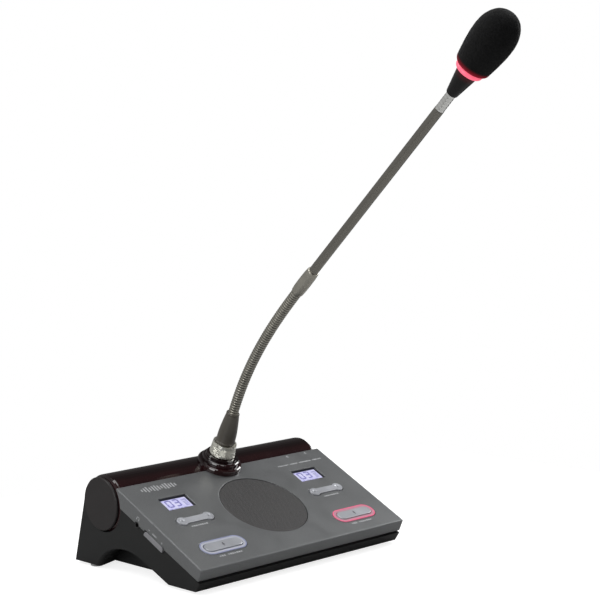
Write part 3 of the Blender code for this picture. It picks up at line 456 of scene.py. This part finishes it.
def add_piece(name, shape, finish, body, matrix=None, nodes=(), smooth=40):
    """A piece from a mesh in a frame, that rides on a body and stands for some CAD nodes."""
    mesh = bpy.data.meshes.new(name)
    bmesh.ops.recalc_face_normals(shape, faces=shape.faces)
    shape.to_mesh(mesh)
    shape.free()
    mesh.shade_smooth()
    mesh.set_sharp_from_angle(angle=math.radians(smooth))
    mesh.materials.append(finish)
    made = bpy.data.objects.new(name, mesh)
    bpy.context.scene.collection.objects.link(made)
    made.matrix_world = matrix or Matrix.Identity(4)
    if body:
        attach(made, body)
    if nodes:
        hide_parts(*nodes)
    return made


def turned(profile, steps=96):
    """A solid of revolution about Z. A profile that never meets the axis makes a ring."""
    shape = bmesh.new()
    points = [shape.verts.new((radius, 0, height)) for radius, height in profile]
    edges = [shape.edges.new(pair) for pair in zip(points, points[1:])]
    if profile[0][0] > 0:
        edges.append(shape.edges.new((points[-1], points[0])))
    bmesh.ops.spin(
        shape, geom=points + edges, cent=(0, 0, 0), axis=(0, 0, 1), angle=math.tau, steps=steps
    )
    bmesh.ops.remove_doubles(shape, verts=shape.verts, dist=1e-6)
    return shape


def rounded(profile, radius, steps=4):
    """The same profile with its inner corners rounded, each by up to radius."""
    points = [Vector((*p, 0)) for p in profile]
    out = [points[0]]
    for before, corner, after in zip(points, points[1:], points[2:]):
        reach = min(radius, (before - corner).length / 2, (after - corner).length / 2)
        start = corner + (before - corner).normalized() * reach
        end = corner + (after - corner).normalized() * reach
        for i in range(steps + 1):
            t = i / steps
            out.append((1 - t) ** 2 * start + 2 * t * (1 - t) * corner + t * t * end)
    out.append(points[-1])
    return [(max(p.x, 0.0), p.y) for p in out]


def add_painted_groove_shade(piece, depths):
    """Stores each vertex's painted shade, from 0 to 1, strongest deep in a groove, which darkens the metal's
    colour.
    """
    attribute = piece.data.attributes.new("groove", "FLOAT", "POINT")
    attribute.data.foreach_set("value", depths)


def prism(shape, outline, low, high):
    """Adds a flat outline in X and Y, extruded from one height to another."""
    face = shape.faces.new([shape.verts.new((x, y, low)) for x, y in outline])
    swept = bmesh.ops.extrude_face_region(shape, geom=[face])
    top = [item for item in swept["geom"] if isinstance(item, bmesh.types.BMVert)]
    bmesh.ops.translate(shape, verts=top, vec=(0, 0, high - low))


def bar(shape, x, y, width, height, low, high, turn=0.0):
    """Adds a flat bar centred on a place, with clipped corners."""
    w, h, clip = width / 2, height / 2, min(width, height) * 0.22
    corners = [(w, clip - h), (w, h - clip), (w - clip, h), (clip - w, h)]
    corners += [(-w, h - clip), (-w, clip - h), (clip - w, -h), (w - clip, -h)]
    cos, sin = math.cos(turn), math.sin(turn)
    outline = [(x + a * cos - b * sin, y + a * sin + b * cos) for a, b in corners]
    prism(shape, outline, low, high)


def arc_band(shape, x, y, radius, width, start, end, low, high, steps=20):
    """Adds part of a flat ring, between two angles in degrees."""
    outline = []
    for reach, order in ((radius + width / 2, 1), (radius - width / 2, -1)):
        angles = [math.radians(start + (end - start) * i / steps) for i in range(steps + 1)]
        outline += [(x + reach * math.cos(a), y + reach * math.sin(a)) for a in angles[::order]]
    prism(shape, outline, low, high)


# Printed marks


def label(shape, x, y, width, height, low, words):
    """A line of small print: short dashes with gaps between words, with no letters in it."""
    pitch = width / sum(words)
    left = x - width / 2
    for word in words:
        for i in range(word - 1):
            tall = height * (1.0 if i % 3 else 0.72)
            bar(shape, left + (i + 0.5) * pitch, y, pitch * 0.62, tall, low, low + PRINT)
        left += word * pitch


def emblem(shape, x, y, low):
    """A plain sound-level mark: upright bars of changing height."""
    heights = (0.40, 0.70, 1.00, 0.60, 0.85, 1.00, 0.75, 0.50, 0.90, 1.00, 0.65, 0.80, 0.45)
    pitch, tall = 0.0026, 0.0068
    for i, share in enumerate(heights):
        place = x + (i - (len(heights) - 1) / 2) * pitch
        bar(shape, place, y, 0.0012, tall * share, low, low + PRINT)


def make_panel_prints(finish):
    """The mark, the small print and the labels on the panel's face."""
    shape = bmesh.new()
    emblem(shape, -0.0689, 0.0961, 0)
    label(shape, 0.0715, 0.0916, 0.0484, 0.0014, 0, (8, 6, 9, 7))
    for x, y in ((0.0660, 0.1015), (0.0856, 0.1016)):
        arc_band(shape, x, y, 0.0008, 0.0005, 20, 340, 0, PRINT)
    for _, side in SIDES:
        label(shape, side * 0.0665, 0.0465, 0.0175, 0.0016, 0, (9,))
        label(shape, side * 0.0660, 0.0097, 0.0235, 0.0017, 0, (4, 8))
    add_piece("panel_prints", shape, finish, "base", PANEL)


def make_side_prints(finish):
    """On the skirt: a headphone sign over its socket, and plus, minus and a label at the key."""
    for side_name, side in SIDES:
        skirt = PANEL @ frame_at((side * PANEL_HALF_WIDTH, 0, 0), (side, 0, 0), (0, side, 0))
        shape = bmesh.new()
        x, y = side * 0.0742, -0.0064
        arc_band(shape, x, y, 0.0013, 0.0004, -10, 190, 0, PRINT)
        for ear in (-1, 1):
            bar(shape, x + ear * 0.0013, y - 0.0006, 0.0007, 0.0013, 0, PRINT)
        bar(shape, side * 0.0600, -0.0068, 0.0016, 0.0004, 0, PRINT)
        label(shape, side * 0.0527, -0.0070, 0.0065, 0.0013, 0, (5,))
        bar(shape, side * 0.0442, -0.0073, 0.0016, 0.0004, 0, PRINT)
        bar(shape, side * 0.0442, -0.0073, 0.0004, 0.0016, 0, PRINT)
        add_piece(f"side_prints_{side_name}", shape, finish, "base", skirt)


def make_key_marks(finish):
    """An arrow head on each lobe of a channel key, and a microphone sign on each mic button."""
    for side_name, side in SIDES:
        shape = bmesh.new()
        low = ROCKER_TOP - 0.00035
        for end in (-1, 1):
            for turn in (-1, 1):
                x = end * (ROCKER_REACH + 0.0002)
                bar(shape, x, turn * 0.00055, 0.0019, 0.0004, low, low + PRINT, -end * turn * 0.75)
        place = PANEL @ Matrix.Translation((side * ROCKER[0], ROCKER[1], 0))
        key = f"channel_key_{side_name}"
        add_piece(f"key_arrows_{side_name}", shape, finish, key, place)
        shape = bmesh.new()
        low = MIC_BUTTON_TOP
        bar(shape, 0, 0.0007, 0.0011, 0.0023, low, low + PRINT)
        arc_band(shape, 0, 0.0004, 0.0011, 0.0003, 180, 360, low, low + PRINT)
        bar(shape, 0, -0.0012, 0.0003, 0.0010, low, low + PRINT)
        bar(shape, 0, -0.0017, 0.0014, 0.0003, low, low + PRINT)
        place = PANEL @ Matrix.Translation((side * MIC_BUTTON[0], MIC_BUTTON[1], 0))
        button = f"mic_button_{side_name}"
        add_piece(f"mic_sign_{side_name}", shape, finish, button, place)


def pill(length, width, steps=24):
    """The outline of a bar with round ends."""
    reach, outline = (length - width) / 2, []
    for side, start in ((1, -90), (-1, 90)):
        for i in range(steps + 1):
            angle = math.radians(start + 180 * i / steps)
            outline.append((side * reach + width / 2 * math.cos(angle), width / 2 * math.sin(angle)))
    return outline


def make_ring_edges():
    """The brighter line round the outside of each light ring: lit on the right, and a painted glow on the unlit
    left.
    """
    shades = {
        # Painted light: the unlit ring's edge glows faintly, though no lamp behind it is on.
        "left": lit_ring("ring_edge_painted_glow", (0.26, 0.28, 0.42), (0.40, 0.46, 0.90), 0.03),
        "right": lit_ring("ring_edge_lit", (0.55, 0.10, 0.18), (1.0, 0.16, 0.30), 0.38),
    }
    length, width, band, low, high = *LIGHT_RING_SIZE, 0.0008, 0.00031, 0.00045
    for side_name, side in SIDES:
        shape = bmesh.new()
        rows = []
        for inset in (0, band):
            outline = pill(length - 2 * inset, width - 2 * inset)
            rows.append([[shape.verts.new((x, y, z)) for x, y in outline] for z in (low, high)])
        (outer_low, outer_high), (inner_low, inner_high) = rows
        loop = [outer_low, outer_high, inner_high, inner_low]
        for one, other in zip(loop, loop[1:] + loop[:1]):
            for i in range(len(one)):
                j = (i + 1) % len(one)
                shape.faces.new((one[i], one[j], other[j], other[i]))
        place = PANEL @ Matrix.Translation((side * MIC_BUTTON[0], MIC_BUTTON[1], 0))
        name = f"ring_edge_{side_name}"
        add_piece(name, shape, shades[side_name], "base", place)


# Displays

SEGMENTS = {
    # top, upper left, upper right, middle, lower left, lower right, bottom
    "0": (1, 1, 1, 0, 1, 1, 1),
    "3": (1, 0, 1, 1, 0, 1, 1),
}


def digit(shape, sign, x, y, width, height, low):
    """Adds a seven-segment digit."""
    stroke = width * 0.24
    w, h = (width - stroke) / 2, (height - stroke) / 2
    places = [(0, h, 0), (-w, h / 2, 1), (w, h / 2, 1), (0, 0, 0)]
    places += [(-w, -h / 2, 1), (w, -h / 2, 1), (0, -h, 0)]
    for shown, (dx, dy, upright) in zip(SEGMENTS[sign], places):
        if shown:
            size = (stroke, h - stroke * 0.2) if upright else (width - stroke * 1.3, stroke)
            bar(shape, x + dx, y + dy, *size, low, low + PRINT)


def make_displays(materials, ink, faint_ink):
    """The lit glass of each display in a dark border, with digits and faint marks on it. The border is partly
    real, and wider at the top and the right as painted shadow of the recess's wall.
    """
    border_and_painted_shadow = moulded("display_border_and_shadow", (0.006, 0.006, 0.022), 0.3)
    half_width, half_height = DISPLAY_SIZE[0] / 2 - 0.0003, DISPLAY_SIZE[1] / 2 - 0.0003
    left, right, low, high = -half_width, half_width, -half_height, half_height
    for side_name, side in SIDES:
        place = PANEL @ Matrix.Translation((side * DISPLAY[0], DISPLAY[1], 0))
        shape = bmesh.new()
        outline = [(left, low), (right, low), (right, high), (left, high)]
        prism(shape, outline, LENS_LOW, LENS_TOP - 0.0002)
        add_piece(f"display_border_and_shadow_{side_name}", shape, border_and_painted_shadow, "base", place)
        shape = bmesh.new()
        # The glass stops further from the top and the right, so the dark border there is painted shadow of the
        # recess's wall.
        x, y = (left + 0.0006, right - 0.0014), (low + 0.0004, high - 0.0016)
        outline = [(x[0], y[0]), (x[1], y[0]), (x[1], y[1]), (x[0], y[1])]
        prism(shape, outline, LENS_TOP - 0.0003, LENS_TOP - 0.0001)
        name, lens = f"display_glass_{side_name}", f"display_lens_{side_name}"
        glass = materials["display_glass"]
        add_piece(name, shape, glass, "base", place, [lens])
        face = LENS_TOP - 0.0001
        shape = bmesh.new()
        digit(shape, "0", -0.0065, 0.0006, 0.0056, 0.0088, face)
        digit(shape, "3", 0.0004, 0.0006, 0.0056, 0.0088, face)
        add_piece(f"display_digits_{side_name}", shape, ink, "base", place)
        shape = bmesh.new()
        for i in range(4):
            bar(shape, 0.0060 + 0.0012 * i, 0.0026, 0.0006, 0.0012 + 0.0006 * i, face, face + PRINT)
            bar(shape, 0.0078, 0.0004 - 0.0014 * i, 0.0040, 0.0006, face, face + PRINT)
        label(shape, -0.0016, -0.0057, 0.0180, 0.0010, face, (4, 6, 3, 5))
        add_piece(f"display_marks_{side_name}", shape, faint_ink, "base", place)


# Microphone


def join_rings(shape, rings):
    """Adds the faces between each ring of vertices and the next."""
    for below, above in zip(rings, rings[1:]):
        for j in range(len(below)):
            k = (j + 1) % len(below)
            shape.faces.new((below[j], below[k], above[k], above[j]))


def circle(radius, z, around):
    """Points round the Z axis at one height."""
    turns = [math.tau * j / around for j in range(around)]
    return [(radius * math.cos(turn), radius * math.sin(turn), z) for turn in turns]


def knurled_collar(finish):
    """The locking ring: crossed spiral grooves, with painted shade in them, below a polished rim."""
    inner, low, high = NECK_RADIUS + GAP, FLANGE_TOP + 0.0004, COLLAR_TOP
    foot_radius, taper, chamfer, mouth, step = 0.0101, 0.0009, 0.0005, 0.0069, 0.0014
    around, up, teeth, depth, groove_width, shade = 384, 72, 48, 0.00018, 0.17, 0.4
    knurl_low, knurl_high, fade = low + 0.0014, high - 0.0022, 0.0004
    shape = bmesh.new()
    rings, depths = [], []
    for i in range(up + 1):
        z = low + (high - low) * i / up
        radius = foot_radius - taper * (z - low) / (high - low)
        if i in (0, up):
            radius -= chamfer
        strength = min(1.0, max(0.0, min(z - knurl_low, knurl_high - z) / fade))
        climb = (z - low) / radius
        ring = []
        for j in range(around):
            angle = math.tau * j / around
            spirals = [(angle + way * climb) * teeth / math.tau for way in (1, -1)]
            nearest = min(abs(spiral % 1.0 - 0.5) for spiral in spirals)
            groove = max(0.0, 1 - nearest / groove_width) * strength
            reach = radius - depth * groove
            # Painted shade in the groove, for the metal's colour.
            depths.append(shade * groove)
            ring.append(shape.verts.new((reach * math.cos(angle), reach * math.sin(angle), z)))
        rings.append(ring)
    for radius, z in ((mouth, high), (mouth, high - step), (inner, high - step), (inner, low)):
        rings.append([shape.verts.new(point) for point in circle(radius, z, around)])
        depths += [0.0] * around
    join_rings(shape, rings + rings[:1])
    collar = add_piece(
        "collar", shape, finish, "lock_collar", SOCKET, ["lock_collar"], 30
    )
    add_painted_groove_shade(collar, depths)


def make_boot(finish):
    """The tapered rubber sleeve between the collar and the lower flex."""
    low = COLLAR_TOP + 0.0002
    profile = [
        (0, low),
        (0.0079, low),
        (0.0080, low + 0.0010),
        (0.0074, low + 0.0016),
        (0.0072, 0.0290),
        (0.0067, 0.0345),
        (0.0059, 0.0405),
        (0.0052, 0.0448),
        (0.0050, 0.0456),
        (0.0052, 0.0460),
        (0.0051, 0.0468),
        (0.0046, BOOT_TOP),
        (0.0040, BOOT_TOP),
        (0, BOOT_TOP),
    ]
    shape = turned(rounded(profile, 0.0008))
    add_piece("boot", shape, finish, "mic_foot", SOCKET, ["flex_boot"], 60)


def hermite(start, end, along_start, along_end, t):
    """A point and its direction on a smooth curve between two points."""
    reach = (end - start).length
    a, b = along_start * reach, along_end * reach
    point = (2 * t**3 - 3 * t**2 + 1) * start + (t**3 - 2 * t**2 + t) * a
    point += (3 * t**2 - 2 * t**3) * end + (t**3 - t**2) * b
    along = (6 * t**2 - 6 * t) * start + (3 * t**2 - 4 * t + 1) * a
    along += (6 * t - 6 * t**2) * end + (3 * t**2 - 2 * t) * b
    return point, along.normalized()


def ribbed_tube(start, end, along_start, along_end, radius, ribs, depth, around=36, steps=8):
    """A corrugated tube along a smooth curve, and how deep in its grooves each vertex lies."""
    shape = bmesh.new()
    rings, depths = [], []
    across = Vector((1, 0, 0))
    for i in range(ribs * steps + 1):
        share = (i % steps) / steps
        point, along = hermite(start, end, along_start, along_end, i / (ribs * steps))
        groove = 0.5 + 0.5 * math.cos(math.tau * share)
        reach = radius - depth * groove
        depths += [groove] * around
        up = along.cross(across)
        ring = []
        for j in range(around):
            angle = math.tau * j / around
            ring.append(shape.verts.new(point + reach * (math.cos(angle) * across + math.sin(angle) * up)))
        rings.append(ring)
    join_rings(shape, rings)
    return shape, depths


def bend_at(piece):
    """Bakes a piece's placement into its mesh."""
    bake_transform(piece)


def make_flex(materials):
    """The lower flex: one piece across each hinge, from the middle of a link to the next."""
    names = [f"neck_{'bend' if number % 2 else 'sway'}_{number}" for number in range(1, 8)]
    pivots = [pivot(name) for name in names]
    ends = [(pivots[0] - SOCKET_AXIS * (FLEX_STUB + 0.001), SOCKET_AXIS)]
    ends += [((a + b) / 2, (b - a).normalized()) for a, b in zip(pivots, pivots[1:])]
    ends += [(pivots[-1] + STEM_AXIS * (FLEX_STUB + 0.001), STEM_AXIS)]
    for number, (name, here) in enumerate(zip(names, pivots), 1):
        (start, along_start), (end, along_end) = ends[number - 1], ends[number]
        ribs = round((end - start).length / RIB_PITCH)
        curve = (start, end, along_start, along_end)
        shape, depths = ribbed_tube(*curve, FLEX_RADIUS, ribs, RIB_DEPTH)
        piece = add_piece(f"flex_{number}", shape, materials["flex_metal"], None, smooth=75)
        # Painted shade in the grooves between the ribs.
        add_painted_groove_shade(piece, [RIB_SHADE * groove for groove in depths])
        child = joints[name]["child"]
        if child.startswith("flex_"):
            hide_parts(child.replace("flex_", "flex_link_"))
        bend_at(piece)


def make_stem(materials):
    """The coupling sleeve, swollen in its middle, and the long rigid tube."""
    low, high = FLEX_STUB, FLEX_STUB + SLEEVE_LENGTH
    profile = [
        (0, low),
        (0.0042, low),
        (0.0045, low + 0.0004),
        (0.0048, low + 0.0045),
        (0.0049, low + 0.0110),
        (0.0048, high - 0.0050),
        (0.0044, high - 0.0008),
        (0.0041, high),
        (0, high),
    ]
    shape = turned(rounded(profile, 0.0012), 64)
    add_piece("sleeve", shape, materials["flex_metal"], "stem", STEM, ["coupling_sleeve"], 50)
    top = (pivot("head_nod") - pivot("neck_bend_7")).length - UPPER_STUB
    low = high - 0.0004
    profile = [(0, low), (STEM_RADIUS, low), (STEM_RADIUS, top - 0.0005)]
    profile += [(STEM_RADIUS - 0.0004, top), (0, top)]
    shape = turned(profile, 64)
    add_piece("tube", shape, materials["stem_metal"], "stem", STEM, ["stem_tube"], 30)


def make_upper_flex(materials):
    """The short bright flex under the head: one piece across each of its two hinges."""
    low, high = pivot("head_nod"), pivot("head_turn")
    link, middle = (high - low).normalized(), (low + high) / 2
    start, end = low - STEM_AXIS * (UPPER_STUB + 0.0005), high + HEAD_AXIS * (UPPER_STUB + 0.0005)
    hinges = (
        ("head_nod", low, (start, middle, STEM_AXIS, link)),
        ("head_turn", high, (middle, end, link, HEAD_AXIS)),
    )
    for number, (name, here, curve) in enumerate(hinges, 1):
        ribs, depth = UPPER_RIBS, UPPER_RIB_DEPTH
        shape, depths = ribbed_tube(*curve, UPPER_FLEX_RADIUS, ribs, depth, steps=12)
        finish = materials["bright_flex"]
        piece = add_piece(f"bright_flex_{number}", shape, finish, None, smooth=75)
        # Painted shade in the grooves between the ribs.
        add_painted_groove_shade(piece, [UPPER_RIB_SHADE * groove for groove in depths])
        if number == 1:
            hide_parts("upper_flex_link")
        bend_at(piece)


def make_head():
    """The cone, with the ring's red light painted on near its top as a faint glow, and the light ring over it."""
    low, top = UPPER_STUB, RING_LOW - GAP
    profile = [
        (0, low),
        (0.0037, low),
        (0.0042, low + 0.0006),
        (0.0077, top - 0.0003),
        (0.0074, top),
        (SPIGOT_RADIUS, top),
        (SPIGOT_RADIUS, RING_LOW + RING_HEIGHT),
        (0, RING_LOW + RING_HEIGHT),
    ]
    shell = moulded("head_shell", (0.0035, 0.0034, 0.0034), 0.36, 2200, 0.12, Specular_IOR_Level=0.3)
    # Painted light: the ring's red light on the top of the cone.
    spread, strength = 0.006, 0.06
    paint_red_glow_below(shell, top, top - spread, strength)
    shape = turned(rounded(profile, 0.0004))
    add_piece("head_shell", shape, shell, "head", HEAD, ["head_cone"])
    low, high, edge = RING_LOW, RING_LOW + RING_HEIGHT, 0.0009
    inner, outer = SPIGOT_RADIUS + GAP, RING_RADIUS
    ring = [(inner, low), (outer - edge, low), (outer, low + edge)]
    ring += [(outer, high - edge), (outer - edge, high), (inner, high)]
    glow = lit_ring("head_ring", (0.50, 0.06, 0.10), (1.0, 0.160, 0.245), 0.90)
    shape = turned(rounded(ring, 0.0008), 128)
    add_piece("light_ring", shape, glow, "head", HEAD, ["led_ring"], 60)


def foam_radius(height):
    """The windscreen's radius at a height over its mouth."""
    mouth, shoulder, corner = 0.0095, 0.0127, FOAM_CORNER
    if height <= corner:
        turn = math.acos(1 - height / corner)
        return mouth + (shoulder - mouth) * math.sin(turn)
    if height <= FOAM_BODY:
        share = (height - corner) / (FOAM_BODY - corner)
        return shoulder + (FOAM_RADIUS - shoulder) * math.sin(math.pi / 2 * share)
    share = min(1.0, (height - FOAM_BODY) / FOAM_NOSE)
    return FOAM_RADIUS * math.cos(math.asin(share)) ** 0.82


def make_windscreen(finish):
    """The foam cover: a soft uneven skin of open cells over the capsule's bore, with the ring's red light painted
    on near its mouth.
    """
    tip, bore, depth = FOAM_BODY + FOAM_NOSE, CAPSULE_BORE, CAPSULE_LENGTH + 0.001
    heights = [FOAM_CORNER * (i / 8) ** 1.6 for i in range(8)]
    heights += [FOAM_CORNER + (FOAM_BODY - FOAM_CORNER) * i / 44 for i in range(44)]
    heights += [FOAM_BODY + FOAM_NOSE * math.sin(math.pi / 2 * i / 36) for i in range(36)]
    profile = [(0, depth), (bore, depth), (bore, 0)]
    profile += [(foam_radius(height), height) for height in heights] + [(0, tip)]
    shape = turned(profile, 128)
    bmesh.ops.recalc_face_normals(shape, faces=shape.faces)
    shape.normal_update()
    moves, lump_depth, set_back = [], 0.00010, 0.00016
    lump_scales = (1300, 260)
    for vert in shape.verts:
        outside = math.hypot(vert.co.x, vert.co.y) > bore + 0.001 or vert.co.z > depth + 0.002
        if outside:
            lump = sum(noise.noise(vert.co * scale) * lump_depth for scale in lump_scales)
            moves.append((vert, vert.normal * (lump - set_back)))
    for vert, move in moves:
        vert.co += move
    place = HEAD @ Matrix.Translation((0, 0, RING_LOW + RING_HEIGHT + GAP))
    # Painted light: the ring's red light on the foam's mouth, painted on as a glow that stays with the foam when
    # it is pulled off.
    glow_low, glow_high, strength = 0.0006, 0.0052, 0.42
    paint_red_glow_below(finish, glow_low, glow_high, strength, place)
    bmesh.ops.transform(shape, matrix=place, verts=shape.verts)
    piece = add_piece("foam_cover", shape, finish, "windscreen", None, ["windscreen"], 180)


# Camera, light and floor


def add_camera():
    """The camera that was fitted to the photograph's base."""
    right, up = Vector(CAMERA_RIGHT), Vector(CAMERA_UP)
    back = right.cross(up)
    matrix = Matrix((right, up, back)).transposed().to_4x4()
    matrix.translation = Vector(CAMERA_PLACE)
    camera = bpy.data.cameras.new("camera")
    camera.lens, camera.sensor_width, camera.clip_start = CAMERA_LENS, CAMERA_SENSOR, 0.01
    made = bpy.data.objects.new("camera", camera)
    made.matrix_world = matrix
    bpy.context.scene.collection.objects.link(made)
    bpy.context.scene.camera = made


def add_softbox(name, place, target, size, power):
    """A rectangular area light that faces its target."""
    lamp = bpy.data.lights.new(name, "AREA")
    lamp.shape, lamp.size, lamp.size_y = "RECTANGLE", size[0], size[1]
    lamp.energy = power
    made = bpy.data.objects.new(name, lamp)
    made.matrix_world = frame_at(place, Vector(place) - Vector(target))
    bpy.context.scene.collection.objects.link(made)


def add_world():
    """White to the camera, and to everything else a room brighter on the camera's left."""
    world = bpy.data.worlds.new("studio")
    world.use_nodes = True
    tree = world.node_tree
    background = tree.nodes["Background"]
    leftness = add(tree, "VectorMath", operation="DOT_PRODUCT")
    leftness.inputs[1].default_value = ROOM_LEFT
    tree.links.new(add(tree, "TexCoord").outputs["Generated"], leftness.inputs[0])
    spread = add(tree, "MapRange")
    spread.inputs["From Min"].default_value = -1.0
    tree.links.new(leftness.outputs["Value"], spread.inputs["Value"])
    room = ramp(tree, spread.outputs["Result"], ROOM_LIGHT)
    mix = add(tree, "Mix", data_type="RGBA")
    mix.inputs["B"].default_value = (1, 1, 1, 1)
    tree.links.new(add(tree, "LightPath").outputs["Is Camera Ray"], mix.inputs["Factor"])
    tree.links.new(room, mix.inputs["A"])
    tree.links.new(mix.outputs["Result"], background.inputs["Color"])
    bpy.context.scene.world = world


def add_floor():
    """A pale paper floor, washed out to near white for the camera."""
    shape = bmesh.new()
    bmesh.ops.create_grid(shape, x_segments=1, y_segments=1, size=0.42)
    mesh = bpy.data.meshes.new("floor")
    shape.to_mesh(mesh)
    shape.free()
    finish, tree, shader = material("floor_paper", (0.42, 0.42, 0.42), 0.9)
    grain(tree, shader, speckle(tree, place_in(tree), 700), 0.05, 0.0001)
    wash = add(tree, "Math", operation="MULTIPLY")
    wash.inputs[1].default_value = 0.80
    tree.links.new(add(tree, "LightPath").outputs["Is Camera Ray"], wash.inputs[0])
    shader.inputs["Emission Color"].default_value = (1, 1, 1, 1)
    tree.links.new(wash.outputs[0], shader.inputs["Emission Strength"])
    mesh.materials.append(finish)
    floor = bpy.data.objects.new("floor", mesh)
    floor.location = (0, 0, -0.0002)
    bpy.context.scene.collection.objects.link(floor)


def main():
    """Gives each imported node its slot's material, then adds the detail, the camera and the light."""
    materials = make_materials()
    slots = {part["node"]: part["material_slot"] for part in frame["record"]["subparts"]}
    for name, node in frame["nodes"].items():
        node.data.materials.clear()
        node.data.materials.append(materials[slots[name]])
    ink_pale = moulded("ink_pale", (0.42, 0.43, 0.44), 0.5)
    ink_dark = moulded("ink_dark", (0.06, 0.062, 0.07), 0.5)
    ink_blue = moulded("ink_blue", (0.200, 0.190, 0.480), 0.4)
    ink_faint = moulded("ink_faint", (0.220, 0.220, 0.480), 0.4)
    make_panel_prints(ink_pale)
    make_side_prints(ink_pale)
    make_key_marks(ink_dark)
    make_ring_edges()
    make_displays(materials, ink_blue, ink_faint)
    knurled_collar(materials["collar_nickel"])
    make_boot(materials["boot_rubber"])
    make_flex(materials)
    make_stem(materials)
    make_upper_flex(materials)
    make_head()
    make_windscreen(materials["foam"])
    add_camera()
    for softbox in SOFTBOXES:
        add_softbox(*softbox)
    add_world()
    add_floor()
    bpy.context.scene.view_settings.view_transform = "Standard"


main()
